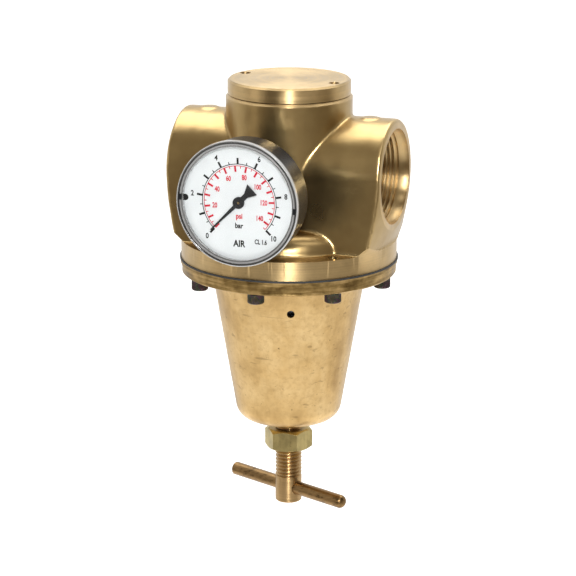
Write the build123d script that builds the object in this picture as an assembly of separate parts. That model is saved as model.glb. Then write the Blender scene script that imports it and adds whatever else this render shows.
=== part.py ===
from build123d import *
import math
import os

# Diaphragm pressure regulator for compressed air, with G 1 1/2 ports and a pressure gauge.
#
# Frame: the origin is where the port line (X) crosses the valve axis (Z). The inlet is at -X, the
# outlet at +X and the gauge faces -Y. The cap is on top and the spring bonnet hangs below.

# Ports: G 1 1/2 parallel pipe thread, drawn plain at its major radius behind a plain mouth
PORT_HALF_LENGTH = 57.0
PORT_THREAD_RADIUS = 23.9
PORT_THREAD_LENGTH = 22.0
PORT_MOUTH_RADIUS = 24.46
PORT_MOUTH_DEPTH = 5.0
PORT_FACE_RADIUS = 27.5
PORT_FACE_TAPER_START = 50.0
PORT_FACE_TAPER_RADIUS = 51.4
PASSAGE_RADIUS = 20.0

# Housing: neck, port bosses, diaphragm dome and lower flange
NECK_RADIUS = 32.46
NECK_TOP = 39.35
BOSS_HALF_WIDTH = 28.2
BOSS_TOP = 29.4
BOSS_FOOT_HALF_WIDTH = 30.6
BOSS_FOOT = -36.0
PAD_CENTRE = 43.5
PAD_LENGTH = 10.0
PAD_WIDTH = 8.0
PAD_HEIGHT = 0.5
NECK_CHAMFER = 1.3
NECK_FOOT = -30.0
SEAM_FILLET = 2.0
DOME_RADIUS = 46.0
DOME_TOP = -25.0
DOME_ROUNDING = 10.0
FLANGE_RADIUS = 55.75
FLANGE_TOP = -35.65
FLANGE_BOTTOM = -45.35
CHAMBER_RADIUS = 38.0
CHAMBER_TOP = -31.0
BORE_RADIUS = 24.0
CAP_THREAD_RADIUS = 28.0
CAP_THREAD_BOTTOM = 26.5
SEAL_STEP_RADIUS = 30.6
SEAL_STEP_HEIGHT = 37.2
WALL_TILT = -35.0
WALL_HALF_THICKNESS = 2.0
SEAT_WELL_RADIUS = 17.0
SEAT_WALL_RADIUS = 20.0

# Cap
CAP_RADIUS = 31.5
CAP_BOTTOM = 39.7
CAP_TOP = 47.2
CAP_POCKET_TOP = 40.5
CAP_THREAD_START = 27.0
CAP_WALL_RADIUS = 23.0
CAP_CHAMFER = 1.0
GUIDE_BOSS_RADIUS = 11.5
GUIDE_BOSS_BOTTOM = 22.0
GUIDE_BORE_TOP = 39.0
CAP_RING_RADIUS = 29.3
CAP_RING_SECTION = 1.2
CAP_RING_HEIGHT = 38.45
GUIDE_RING_RADIUS = 7.2
GUIDE_RING_SECTION = 1.12
GUIDE_RING_HEIGHT = 26.0
SPANNER_HOLE_CIRCLE = 26.7
SPANNER_HOLE_RADIUS = 2.8
SPANNER_HOLE_DEPTH = 4.0
SPANNER_HOLE_TURN = -13.0

# Valve
SEAT_BORE_RADIUS = 10.5
SEAT_RADIUS = 13.5
SEAT_COLLAR_RADIUS = 15.5
SEAT_COLLAR_TOP = 3.5
SEAT_LIP_TOP = 4.5
SEAT_DISC_THICKNESS = 3.0
SEAT_DISC_RADIUS = 14.0
SEAT_DISC_BORE = 9.0
POPPET_TOP = 13.0
GUIDE_STEM_TOP = 34.0
VALVE_SPRING_RADIUS = 14.5
VALVE_SPRING_WIRE_RADIUS = 1.1
VALVE_SPRING_TURNS = 7
PUSH_STEM_RADIUS = 4.0
GUIDE_STEM_RADIUS = 6.0
RUNNING_GAP = 0.05

# Diaphragm stack
DIAPHRAGM_RADIUS = 56.5
DIAPHRAGM_BOTTOM = -46.25
UPPER_PLATE_RADIUS = 30.0
UPPER_PLATE_THICKNESS = 2.0
LOWER_PLATE_RADIUS = 32.0
LOWER_PLATE_THICKNESS = 3.0
BOLT_RADIUS = 4.0
BOLT_HEAD_TOP = -38.35
BOLT_BOTTOM = -58.0
BOLT_ACROSS_FLATS = 13.0
BOLT_NUT_HEIGHT = 6.5

# Bonnet
BONNET_FLANGE_RADIUS = 56.2
BONNET_FLANGE_BOTTOM = -53.6
BONNET_FLANGE_ROUNDING = 1.2
BONNET_FLANGE_STEP = -48.2
BONNET_FLANGE_LOWER_RADIUS = 55.5
BONNET_TOP_RADIUS = 40.0
BONNET_CORNER = (26.57, -131.85)
BONNET_CORNER_ROUNDING = 9.0
BONNET_BOSS_RADIUS = 9.84
BONNET_BOSS_BOTTOM = -136.5
BONNET_SHOULDER = -135.4
BONNET_FLOOR = -130.0
INNER_TOP_RADIUS = 36.0
INNER_TAPER_TOP = -56.0
INNER_FLOOR_RADIUS = 23.3
INNER_BOSS_RADIUS = 10.5
INNER_BOSS_TOP = -123.5
VENT_RADIUS = 2.0
VENT_HEIGHT = -67.4
VENT_ANGLE = 20.6

# Flange screws, M5 socket head
SCREW_COUNT = 8
SCREW_CIRCLE = 50.6
SCREW_RADIUS = 2.5
SCREW_CLEARANCE_RADIUS = 2.75
SCREW_HEAD_RADIUS = 4.25
SCREW_HEAD_HEIGHT = 5.0
SCREW_HEAD_CHAMFER = 0.5
SCREW_TIP = -36.6
SCREW_SOCKET_ACROSS_FLATS = 4.0
SCREW_SOCKET_DEPTH = 2.5
SPOT_FACE_RADIUS = 4.9
SPOT_FACE_REACH = 8

# Control spring and its seat
SPRING_RADIUS = 19.0
SPRING_WIRE_RADIUS = 2.6
SPRING_TURNS = 7
SPRING_SEAT_RADIUS = 23.0
SPRING_SEAT_TOP = -114.5
SPRING_SEAT_BOTTOM = -119.5
BALL_RADIUS = 4.0
BALL_CENTRE = -120.5
BALL_POCKET_RADIUS = 4.05

# Adjusting spindle, M14 x 2, with its lock nut and cross bar
SPINDLE_RADIUS = 6.95
SPINDLE_ROOT_RADIUS = 5.75
SPINDLE_PITCH = 2.0
SPINDLE_TOP = -121.5
SPINDLE_THREAD_END = -166.2
SPINDLE_BOTTOM = -179.85
THREAD_HOLE_RADIUS = 7.0
NUT_ACROSS_FLATS = 22.0
NUT_TOP = -139.3
NUT_HEIGHT = 11.0
NUT_TURN = 8.5
BAR_RADIUS = 3.55
BAR_LENGTH = 80.0
BAR_DOME = 2.8
BAR_CHAMFER = 0.9
BAR_HEIGHT = -171.9
BAR_TURN = -24.8

# Gauge, 63 mm, with its axis along Y; its depths are measured from the valve axis towards the reader
GAUGE_HEIGHT = -1.6
GAUGE_BOSS_RADIUS = 11.0
GAUGE_BOSS_FACE = 38.0
GAUGE_THREAD_RADIUS = 6.58
GAUGE_THREAD_LENGTH = 10.0
SEAL_THICKNESS = 1.5
CASE_BACK = 57.5
CASE_BACK_RADIUS = 29.8
CASE_FRONT = 76.3
CASE_FRONT_RADIUS = 31.3
WINDOW_RADIUS = 31.5
WINDOW_FRONT = 78.3
PANE_THICKNESS = 1.2
DIAL_RADIUS = 28.9
DIAL_BACK = 73.6
DIAL_THICKNESS = 0.8
BACK_PLATE = 64.2
FRONT_PLATE = 70.2
PLATE_THICKNESS = 1.0
PINION_DEPTH = 66.6
GEAR_THICKNESS = 1.0
GEAR_MODULE = 0.35
PINION_TEETH = 10
SECTOR_TEETH = 80
SECTOR_FIRST_TOOTH = -9
TUBE_RADIUS = 21.0
TUBE_BACK = 65.4
TUBE_DEPTH = 4.0
TUBE_THICKNESS = 2.2
TUBE_WALL = 0.3
TUBE_START = -35.0
TUBE_SPAN = 275.0
TAIL_ANGLE = 285.0
TAIL_LENGTH = 7.5
LINK_DEPTH = 69.45
LINK_THICKNESS = 0.6
MOVEMENT_SCREW_RADIUS = 0.9
MOVEMENT_SCREW_TIP = 60.0
MOVEMENT_SCREW_PLACES = ((-5.6, 2.5), (5.6, 2.5))

PORT_PLANE = Plane(origin=(0, 0, 0), x_dir=(0, 1, 0), z_dir=(1, 0, 0))
GAUGE_PLANE = Plane(origin=(0, 0, GAUGE_HEIGHT), x_dir=(1, 0, 0), z_dir=(0, -1, 0))
FROM_BELOW = (Align.CENTER, Align.CENTER, Align.MIN)


def disc(radius, low, high, x=0.0, y=0.0):
    """Upright cylinder between two heights."""
    return Pos(x, y, low) * Cylinder(radius, high - low, align=FROM_BELOW)


def ring(outer, inner, low, high):
    return disc(outer, low, high) - disc(inner, low, high)


def turned(corners):
    """Solid turned about Z from (radius, height, rounding) corners of a closed outline."""
    points = [(corner[0], corner[1]) for corner in corners]
    radii = [corner[2] if len(corner) > 2 else 0 for corner in corners]
    outline = FilletPolyline(*points, radius=radii, close=True)
    return revolve(Plane.XZ * make_face(outline), Axis.Z)


def around(count, radius, start=0.0):
    """Points evenly spaced on a circle, the first one at the start angle."""
    return [on_circle(radius, start + 360.0 * step / count) for step in range(count)]


def on_circle(radius, degrees):
    return (radius * math.cos(math.radians(degrees)), radius * math.sin(math.radians(degrees)))


def coil(radius, wire, low, high, turns):
    """Round-wire helical spring that fills the space between two heights."""
    height = high - low - 2 * wire
    path = Helix(pitch=height / turns, height=height, radius=radius, center=(0, 0, low + wire))
    section = Plane(origin=path @ 0, z_dir=path % 0) * Circle(wire)
    return sweep(section, path=path)


def hexagon(across_flats, low, high):
    outline = RegularPolygon(across_flats / 2, 6, major_radius=False)
    return Pos(0, 0, low) * extrude(outline, high - low)


def on_port_line(part):
    return PORT_PLANE * part


def on_gauge(part):
    return GAUGE_PLANE * part


def both_ends(part):
    return part + mirror(part, about=Plane.YZ)


# Housing


def port_boss():
    """Arched boss with drafted sides that runs from the valve axis to the outlet face."""
    foot = BOSS_FOOT_HALF_WIDTH
    side = BOSS_HALF_WIDTH
    arch = ThreePointArc((side, 0), (0, BOSS_TOP), (-side, 0))
    walls = Polyline((-side, 0), (-foot, BOSS_FOOT), (foot, BOSS_FOOT), (side, 0))
    boss = extrude(Plane.YZ * make_face([arch, walls]), PORT_HALF_LENGTH)
    wide = PORT_FACE_TAPER_RADIUS
    taper = [(wide, PORT_FACE_TAPER_START), (PORT_FACE_RADIUS, PORT_HALF_LENGTH)]
    faced = turned([(0, 0), (wide, 0), *taper, (0, PORT_HALF_LENGTH)])
    pad = Pos(PAD_CENTRE, 0, BOSS_TOP) * Box(PAD_LENGTH, PAD_WIDTH, 2 * PAD_HEIGHT)
    return (boss & on_port_line(faced)) + pad


def undercut_limit():
    """Space above the 45 degree undercut that starts at the flange's top edge."""
    reach = 20.0
    low = FLANGE_BOTTOM
    high = CAP_TOP
    corner = (FLANGE_RADIUS, FLANGE_TOP)
    outer = (FLANGE_RADIUS + reach, FLANGE_TOP + reach)
    return turned([(0, low), (FLANGE_RADIUS, low), corner, outer, (outer[0], high), (0, high)])


def gauge_boss():
    """Round boss that carries the gauge, from inside the neck's wall to its face."""
    return disc(GAUGE_BOSS_RADIUS, NECK_RADIUS - 7, GAUGE_BOSS_FACE)


def seam_edges(shape):
    """Edges where the neck's side meets the bosses."""
    found = []
    for edge in shape.edges():
        points = [edge @ 0.1, edge @ 0.5, edge @ 0.9]
        on_neck = all(abs(math.hypot(p.X, p.Y) - NECK_RADIUS) < 0.05 for p in points)
        if on_neck and all(DOME_TOP + 5 < p.Z < BOSS_TOP + 0.2 for p in points):
            found.append(edge)
    return found


def housing_outside():
    neck_edge = [(NECK_RADIUS, NECK_TOP - NECK_CHAMFER), (NECK_RADIUS - NECK_CHAMFER, NECK_TOP)]
    neck = turned([(0, NECK_FOOT), (NECK_RADIUS, NECK_FOOT), *neck_edge, (0, NECK_TOP)])
    bosses = both_ends(port_boss()) & undercut_limit()
    dome_foot = FLANGE_TOP - 1
    dome_edge = [(DOME_RADIUS, DOME_TOP, DOME_ROUNDING), (DOME_RADIUS, dome_foot)]
    dome = turned([(0, DOME_TOP), *dome_edge, (0, dome_foot)])
    flange = disc(FLANGE_RADIUS, FLANGE_BOTTOM, FLANGE_TOP)
    front = on_gauge(gauge_boss())
    return neck + bosses + dome + flange + front + mirror(front, about=Plane.XZ)


def tilted_half(above):
    """Everything above, or below, the tilted wall that separates inlet from outlet."""
    size = 100
    shift = WALL_HALF_THICKNESS + size / 2
    return Rot(0, WALL_TILT, 0) * Pos(0, 0, shift if above else -shift) * Box(2 * size, 2 * size, size)


def flow_space():
    """Inlet space above the seat and outlet space below it, with the wall left between them."""
    top = CAP_THREAD_BOTTOM
    bottom = CHAMBER_TOP
    open_space = disc(BORE_RADIUS, bottom, top)
    open_space += on_port_line(disc(PASSAGE_RADIUS, -40, 40))
    web = WALL_HALF_THICKNESS
    inlet = (open_space & tilted_half(True)) - disc(SEAT_WALL_RADIUS, bottom, web)
    inlet += disc(SEAT_WELL_RADIUS, web, top)
    outlet = (open_space & tilted_half(False)) - disc(SEAT_WALL_RADIUS, -web, top)
    outlet += disc(SEAT_WELL_RADIUS, bottom, -web)
    outlet += disc(BORE_RADIUS, bottom, bottom + 6)
    return inlet + outlet


def port_bore():
    thread_start = PORT_HALF_LENGTH - PORT_MOUTH_DEPTH
    mouth = disc(PORT_MOUTH_RADIUS, thread_start, PORT_HALF_LENGTH + 1)
    thread = disc(PORT_THREAD_RADIUS, thread_start - PORT_THREAD_LENGTH, thread_start)
    return on_port_line(mouth + thread)


def gauge_bore():
    """Tapped gauge hole and the drilling that leads from it to the outlet side."""
    bottom = GAUGE_BOSS_FACE - GAUGE_THREAD_LENGTH - 1
    hole = on_gauge(disc(GAUGE_THREAD_RADIUS, bottom, GAUGE_BOSS_FACE + 1))
    drilling = Pos(0, -24, -5.3) * Rot(45, 0, 0) * Cylinder(1.5, 12)
    return hole + drilling


def housing():
    body = housing_outside()
    body = fillet(seam_edges(body), SEAM_FILLET)
    body -= flow_space()
    body -= both_ends(port_bore())
    body -= disc(CAP_THREAD_RADIUS, CAP_THREAD_BOTTOM, NECK_TOP)
    body -= disc(SEAL_STEP_RADIUS, SEAL_STEP_HEIGHT, NECK_TOP)
    body -= disc(CHAMBER_RADIUS, FLANGE_BOTTOM, CHAMBER_TOP)
    body -= disc(SEAT_RADIUS, -SEAT_LIP_TOP, SEAT_LIP_TOP)
    body -= gauge_bore()
    body -= mirror(gauge_bore(), about=Plane.XZ)
    for x, y in around(SCREW_COUNT, SCREW_CIRCLE):
        body -= disc(SCREW_RADIUS, FLANGE_BOTTOM, FLANGE_TOP, x, y)
    return body


# Cap and valve


def cap():
    """Screwed cap with a boss inside that guides the valve."""
    edge = [(CAP_RADIUS, CAP_TOP - CAP_CHAMFER), (CAP_RADIUS - CAP_CHAMFER, CAP_TOP)]
    body = turned([(0, CAP_BOTTOM), (CAP_RADIUS, CAP_BOTTOM), *edge, (0, CAP_TOP)])
    body += ring(CAP_THREAD_RADIUS, CAP_WALL_RADIUS, CAP_THREAD_START, CAP_BOTTOM)
    body += disc(GUIDE_BOSS_RADIUS, GUIDE_BOSS_BOTTOM, CAP_BOTTOM)
    body -= ring(CAP_WALL_RADIUS, GUIDE_BOSS_RADIUS, CAP_BOTTOM, CAP_POCKET_TOP)
    body -= disc(GUIDE_STEM_RADIUS + RUNNING_GAP, GUIDE_BOSS_BOTTOM, GUIDE_BORE_TOP)
    groove_radius = GUIDE_RING_RADIUS + GUIDE_RING_SECTION + 0.03
    groove_half = GUIDE_RING_SECTION + 0.03
    body -= disc(groove_radius, GUIDE_RING_HEIGHT - groove_half, GUIDE_RING_HEIGHT + groove_half)
    for x, y in around(2, SPANNER_HOLE_CIRCLE, SPANNER_HOLE_TURN):
        body -= disc(SPANNER_HOLE_RADIUS, CAP_TOP - SPANNER_HOLE_DEPTH, CAP_TOP, x, y)
    return body


def cap_o_ring():
    return Pos(0, 0, CAP_RING_HEIGHT) * Torus(CAP_RING_RADIUS, CAP_RING_SECTION)


def guide_o_ring():
    return Pos(0, 0, GUIDE_RING_HEIGHT) * Torus(GUIDE_RING_RADIUS, GUIDE_RING_SECTION)


def valve_seat():
    """Seat pressed into the wall, with a raised lip that the disc closes on."""
    web = WALL_HALF_THICKNESS
    bore = SEAT_BORE_RADIUS
    lip = [(bore + 1.5, SEAT_COLLAR_TOP), (bore + 1.1, SEAT_LIP_TOP), (bore, SEAT_LIP_TOP)]
    collar = [(SEAT_COLLAR_RADIUS, web), (SEAT_COLLAR_RADIUS, SEAT_COLLAR_TOP)]
    return turned([(bore, -web), (SEAT_RADIUS, -web), (SEAT_RADIUS, web), *collar, *lip])


def seat_disc():
    return ring(SEAT_DISC_RADIUS, SEAT_DISC_BORE, SEAT_LIP_TOP, SEAT_LIP_TOP + SEAT_DISC_THICKNESS)


def valve_poppet():
    """Valve with the stem that the diaphragm pushes and the stem that slides in the cap."""
    low = SEAT_LIP_TOP
    high = SEAT_LIP_TOP + SEAT_DISC_THICKNESS
    stem = PUSH_STEM_RADIUS
    bore = SEAT_DISC_BORE
    rim = SEAT_DISC_RADIUS
    outline = [(0, BOLT_HEAD_TOP), (stem, BOLT_HEAD_TOP, 1), (stem, low), (bore, low), (bore, high)]
    outline += [(rim, high), (rim, low + 1), (rim + 1.5, low + 1), (rim + 1.5, POPPET_TOP)]
    outline += [(GUIDE_STEM_RADIUS, POPPET_TOP), (GUIDE_STEM_RADIUS, GUIDE_STEM_TOP), (0, GUIDE_STEM_TOP)]
    return turned(outline)


def valve_spring():
    wire = VALVE_SPRING_WIRE_RADIUS
    return coil(VALVE_SPRING_RADIUS, wire, POPPET_TOP, CAP_POCKET_TOP, VALVE_SPRING_TURNS)


def stem_guide():
    """Pressed plate above the diaphragm that guides the push stem and lets the air through."""
    low = CHAMBER_TOP
    plate = ring(BORE_RADIUS, PUSH_STEM_RADIUS + RUNNING_GAP, low, low + 3)
    plate += ring(8.0, PUSH_STEM_RADIUS + RUNNING_GAP, low, low + 8)
    for x, y in around(6, 15.0):
        plate -= disc(3.5, low, low + 3, x, y)
    return plate


# Diaphragm stack


def diaphragm():
    sheet = ring(DIAPHRAGM_RADIUS, BOLT_RADIUS + RUNNING_GAP, DIAPHRAGM_BOTTOM, FLANGE_BOTTOM)
    for x, y in around(SCREW_COUNT, SCREW_CIRCLE):
        sheet -= disc(SCREW_CLEARANCE_RADIUS, DIAPHRAGM_BOTTOM, FLANGE_BOTTOM, x, y)
    return sheet


def upper_plate():
    low = FLANGE_BOTTOM
    high = low + UPPER_PLATE_THICKNESS
    rim = [(UPPER_PLATE_RADIUS, low, 0.8), (UPPER_PLATE_RADIUS, high, 0.8)]
    return turned([(BOLT_RADIUS, low), *rim, (BOLT_RADIUS, high)])


def lower_plate():
    """Plate under the diaphragm, with a rim that centres the control spring."""
    high = DIAPHRAGM_BOTTOM
    low = high - LOWER_PLATE_THICKNESS
    rim = SPRING_RADIUS + SPRING_WIRE_RADIUS + 0.5
    outline = [(BOLT_RADIUS, high), (LOWER_PLATE_RADIUS, high, 1), (LOWER_PLATE_RADIUS, low, 1)]
    outline += [(rim + 2.5, low), (rim + 2.5, low - 4), (rim, low - 4), (rim, low), (BOLT_RADIUS, low)]
    return turned(outline)


def diaphragm_bolt():
    head_low = FLANGE_BOTTOM + UPPER_PLATE_THICKNESS
    return hexagon(BOLT_ACROSS_FLATS, head_low, BOLT_HEAD_TOP) + disc(BOLT_RADIUS, BOLT_BOTTOM, head_low)


def diaphragm_nut():
    high = DIAPHRAGM_BOTTOM - LOWER_PLATE_THICKNESS
    low = high - BOLT_NUT_HEIGHT
    return hexagon(BOLT_ACROSS_FLATS, low, high) - disc(BOLT_RADIUS, low, high)


# Bonnet side


def bonnet_outside():
    """Flange, drafted wall with its rounded lower corner, and the boss around the spindle."""
    upper = BONNET_FLANGE_RADIUS
    lower = BONNET_FLANGE_LOWER_RADIUS
    step = BONNET_FLANGE_STEP
    boss = BONNET_BOSS_RADIUS
    bottom = BONNET_BOSS_BOTTOM
    edge = 0.4
    outline = [(0, DIAPHRAGM_BOTTOM), (upper, DIAPHRAGM_BOTTOM), (upper, step), (lower, step)]
    outline += [(lower, BONNET_FLANGE_BOTTOM, BONNET_FLANGE_ROUNDING)]
    outline += [(BONNET_TOP_RADIUS, BONNET_FLANGE_BOTTOM, 1.8)]
    outline += [(*BONNET_CORNER, BONNET_CORNER_ROUNDING), (boss, BONNET_SHOULDER)]
    outline += [(boss, bottom + edge), (boss - edge, bottom), (0, bottom)]
    return turned(outline)


def bonnet_inside():
    top = INNER_TOP_RADIUS
    floor = BONNET_FLOOR
    outline = [(0, DIAPHRAGM_BOTTOM), (top, DIAPHRAGM_BOTTOM), (top, INNER_TAPER_TOP)]
    return turned(outline + [(INNER_FLOOR_RADIUS, floor, 5), (0, floor)])


def vent():
    """Hole that lets air in and out of the spring space."""
    hole = Rot(90, 0, 0) * Cylinder(VENT_RADIUS, LOWER_PLATE_RADIUS + 18, align=FROM_BELOW)
    return Pos(0, 0, VENT_HEIGHT) * Rot(0, 0, VENT_ANGLE) * hole


def bonnet():
    body = bonnet_outside() - bonnet_inside()
    body += disc(INNER_BOSS_RADIUS, BONNET_FLOOR - 1, INNER_BOSS_TOP)
    body -= disc(THREAD_HOLE_RADIUS, BONNET_BOSS_BOTTOM, INNER_BOSS_TOP)
    for x, y in around(SCREW_COUNT, SCREW_CIRCLE):
        body -= disc(SCREW_CLEARANCE_RADIUS, BONNET_FLANGE_BOTTOM, DIAPHRAGM_BOTTOM, x, y)
        body -= disc(SPOT_FACE_RADIUS, BONNET_FLANGE_BOTTOM - SPOT_FACE_REACH, BONNET_FLANGE_BOTTOM, x, y)
    return body - vent()


def flange_screws():
    """Socket head screws that clamp the bonnet and the diaphragm to the housing."""
    head_low = BONNET_FLANGE_BOTTOM - SCREW_HEAD_HEIGHT
    screws = []
    for x, y in around(SCREW_COUNT, SCREW_CIRCLE):
        head = disc(SCREW_HEAD_RADIUS, head_low, BONNET_FLANGE_BOTTOM)
        head = chamfer(head.edges().sort_by(Axis.Z)[:1], SCREW_HEAD_CHAMFER)
        shank = disc(SCREW_RADIUS, BONNET_FLANGE_BOTTOM, SCREW_TIP)
        socket = hexagon(SCREW_SOCKET_ACROSS_FLATS, head_low, head_low + SCREW_SOCKET_DEPTH)
        screws.append(Pos(x, y, 0) * (head + shank - socket))
    return Compound(children=screws)


def control_spring():
    high = DIAPHRAGM_BOTTOM - LOWER_PLATE_THICKNESS
    return coil(SPRING_RADIUS, SPRING_WIRE_RADIUS, SPRING_SEAT_TOP, high, SPRING_TURNS)


def spring_seat():
    low = SPRING_SEAT_BOTTOM
    high = SPRING_SEAT_TOP
    spigot = SPRING_RADIUS - SPRING_WIRE_RADIUS - 0.9
    rim = [(SPRING_SEAT_RADIUS, low, 0.8), (SPRING_SEAT_RADIUS, high, 0.8)]
    body = turned([(0, low), *rim, (spigot, high), (spigot, high + 5, 1), (0, high + 5)])
    return body - Pos(0, 0, BALL_CENTRE) * Sphere(BALL_POCKET_RADIUS)


def thrust_ball():
    return Pos(0, 0, BALL_CENTRE) * Sphere(BALL_RADIUS)


# Spindle, nut and bar


def spindle():
    """Screw with its thread drawn as rings; the helix's lead is in the joint's coupling."""
    crest = SPINDLE_RADIUS
    root = SPINDLE_ROOT_RADIUS
    grooves = int((SPINDLE_TOP - 1.5 - SPINDLE_THREAD_END) / SPINDLE_PITCH)
    outline = [(0, SPINDLE_BOTTOM), (crest - 0.6, SPINDLE_BOTTOM), (crest, SPINDLE_BOTTOM + 0.6)]
    for turn in range(grooves):
        start = SPINDLE_THREAD_END + turn * SPINDLE_PITCH
        outline += [(crest, start), (root, start + 0.75), (root, start + 1.0), (crest, start + 1.75)]
    outline += [(crest, SPINDLE_TOP - 1.0), (crest - 1.0, SPINDLE_TOP), (0, SPINDLE_TOP)]
    body = turned(outline)
    body -= Pos(0, 0, BALL_CENTRE) * Sphere(BALL_POCKET_RADIUS)
    return body - bar_place() * Cylinder(BAR_RADIUS, BAR_LENGTH)


def bar_place():
    return Pos(0, 0, BAR_HEIGHT) * Rot(0, 0, BAR_TURN) * Rot(0, 90, 0)


def tommy_bar():
    """Cross bar, domed at the end towards +X and chamfered at the other."""
    bar = Cylinder(BAR_RADIUS, BAR_LENGTH)
    ends = bar.edges().filter_by(GeomType.CIRCLE).sort_by(Axis.Z)
    bar = fillet(ends[-1:], BAR_DOME)
    ends = bar.edges().filter_by(GeomType.CIRCLE).sort_by(Axis.Z)
    return bar_place() * chamfer(ends[:1], BAR_CHAMFER)


def lock_nut():
    """Hexagon nut, chamfered at both ends, that locks the spindle against the bonnet."""
    low = NUT_TOP - NUT_HEIGHT
    half = NUT_ACROSS_FLATS / 2
    edge = half - 0.7
    spread = 4.0
    drop = spread * math.tan(math.radians(30))
    wide = edge + spread
    sides = [(edge, low), (wide, low + drop), (wide, NUT_TOP - drop), (edge, NUT_TOP)]
    limit = turned([(0, low), *sides, (0, NUT_TOP)])
    blank = Rot(0, 0, NUT_TURN) * hexagon(NUT_ACROSS_FLATS, low, NUT_TOP)
    return (blank & limit) - disc(THREAD_HOLE_RADIUS, low, NUT_TOP)


# Gauge port fittings


def gauge_seal():
    face = GAUGE_BOSS_FACE
    return on_gauge(ring(9.5, GAUGE_THREAD_RADIUS, face, face + SEAL_THICKNESS))


def rear_seal():
    return mirror(gauge_seal(), about=Plane.XZ)


def rear_plug():
    """Plug in the unused gauge port at the back."""
    face = GAUGE_BOSS_FACE
    start = face + SEAL_THICKNESS
    plug = disc(GAUGE_THREAD_RADIUS, face - GAUGE_THREAD_LENGTH, start)
    plug += turned([(0, start), (9.5, start), (9.5, start + 3, 0.6), (0, start + 3)])
    plug -= hexagon(6.0, start - 3, start + 3)
    return mirror(on_gauge(plug), about=Plane.XZ)


# Gauge


def gauge_socket():
    """Stem that screws into the housing, with the block that carries tube and movement."""
    collar = GAUGE_BOSS_FACE + SEAL_THICKNESS
    body = disc(GAUGE_THREAD_RADIUS, GAUGE_BOSS_FACE - GAUGE_THREAD_LENGTH, collar)
    body += hexagon(14.0, collar, 50.0)
    body += disc(6.0, 50.0, CASE_BACK + 1)
    body += disc(7.4, CASE_BACK + 1, BACK_PLATE)
    angle = TUBE_START + TUBE_SPAN
    arm = Pos(TUBE_RADIUS / 2, 0, 59.5) * Box(TUBE_RADIUS + 5, 7, 4, align=FROM_BELOW)
    tower = Pos(TUBE_RADIUS, -0.2, 63.0) * Box(3.6, 2.8, 6.4, align=FROM_BELOW)
    body += Rot(0, 0, angle) * (arm + tower - tube_section_slot())
    return on_gauge(body - disc(1.5, 20, 60))


def tube_section_slot():
    size = (TUBE_THICKNESS + 0.1, 3, TUBE_DEPTH + 0.1)
    return Pos(TUBE_RADIUS, -2.1, TUBE_BACK - 0.05) * Box(*size, align=FROM_BELOW)


def bourdon_tube():
    """Flattened curved tube that opens a little as the pressure rises."""
    middle = TUBE_BACK + TUBE_DEPTH / 2
    skin = RectangleRounded(TUBE_THICKNESS, TUBE_DEPTH, 1.0)
    hollow = RectangleRounded(TUBE_THICKNESS - 2 * TUBE_WALL, TUBE_DEPTH - 2 * TUBE_WALL, 0.7)
    section = Plane.XZ * (Pos(TUBE_RADIUS, middle) * (skin - hollow))
    return on_gauge(Rot(0, 0, TUBE_START) * revolve(section, Axis.Z, revolution_arc=TUBE_SPAN - 1.7))


def tube_tip():
    """End piece that closes the free end of the tube."""
    block = Pos(TUBE_RADIUS, -1.25, TUBE_BACK) * Box(3.4, 2.5, TUBE_DEPTH, align=FROM_BELOW)
    return on_gauge(Rot(0, 0, TUBE_START) * block)


def gauge_case():
    back = CASE_BACK
    front = CASE_FRONT
    ledge = DIAL_BACK
    inside = back + 1.5
    outline = [(7.5, back), (CASE_BACK_RADIUS, back, 1.2), (CASE_FRONT_RADIUS, front), (29.6, front)]
    outline += [(29.6, ledge), (28.0, ledge), (28.0, inside), (7.5, inside)]
    return on_gauge(turned(outline))


def gauge_window():
    """Clear front with a raised rim that snaps into the case."""
    front = WINDOW_FRONT
    pane = CASE_FRONT + 0.1
    skirt = CASE_FRONT - 1.3
    outline = [(0, pane), (28.6, pane), (28.6, skirt), (29.5, skirt), (29.5, CASE_FRONT)]
    outline += [(WINDOW_RADIUS, CASE_FRONT), (WINDOW_RADIUS, front, 0.5), (28.9, front, 0.5)]
    outline += [(28.3, pane + PANE_THICKNESS), (0, pane + PANE_THICKNESS)]
    return on_gauge(turned(outline))


def gauge_dial():
    return on_gauge(ring(DIAL_RADIUS, 2.0, DIAL_BACK, DIAL_BACK + DIAL_THICKNESS))


def pointer():
    """Needle with a fan-shaped tail, drawn along +X and turned to the zero mark."""
    needle = Polygon((0, -1.0), (20.6, -0.3), (20.6, 0.3), (0, 1.0), align=None)
    tail = Polygon((0, -1.3), (0, 1.3), (-5.5, 1.3), (-10.0, 3.5), (-10.0, -3.5), (-5.5, -1.3), align=None)
    blade = Pos(0, 0, 75.1) * extrude(needle + tail, 0.5)
    hub = disc(2.9, 74.9, 75.9) - disc(0.6, 74.9, 75.9)
    return on_gauge(Rot(0, 0, 225) * (blade - disc(0.6, 75.1, 75.6)) + hub)


def gear_tooth(pitch_radius, root_half, pitch_half, tip_half):
    """Straight-flanked tooth along +X, reaching into the rim below its root."""
    module = GEAR_MODULE
    heights = [pitch_radius - 1.4 * module, pitch_radius, pitch_radius + 0.8 * module]
    halves = [root_half, pitch_half, tip_half]
    lower = [(height, -half) for height, half in zip(heights, halves)]
    upper = [(height, half) for height, half in zip(reversed(heights), reversed(halves))]
    return Polygon(*lower, *upper, align=None)


def pinion():
    """Pointer arbor with its pinion teeth."""
    pitch_radius = GEAR_MODULE * PINION_TEETH / 2
    outline = Circle(pitch_radius - 1.2 * GEAR_MODULE)
    for index in range(PINION_TEETH):
        outline += Rot(0, 0, 360.0 * index / PINION_TEETH) * gear_tooth(pitch_radius, 0.34, 0.22, 0.08)
    teeth = Pos(0, 0, PINION_DEPTH) * extrude(outline, GEAR_THICKNESS)
    return on_gauge(teeth + disc(0.6, BACK_PLATE, 75.9))


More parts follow.
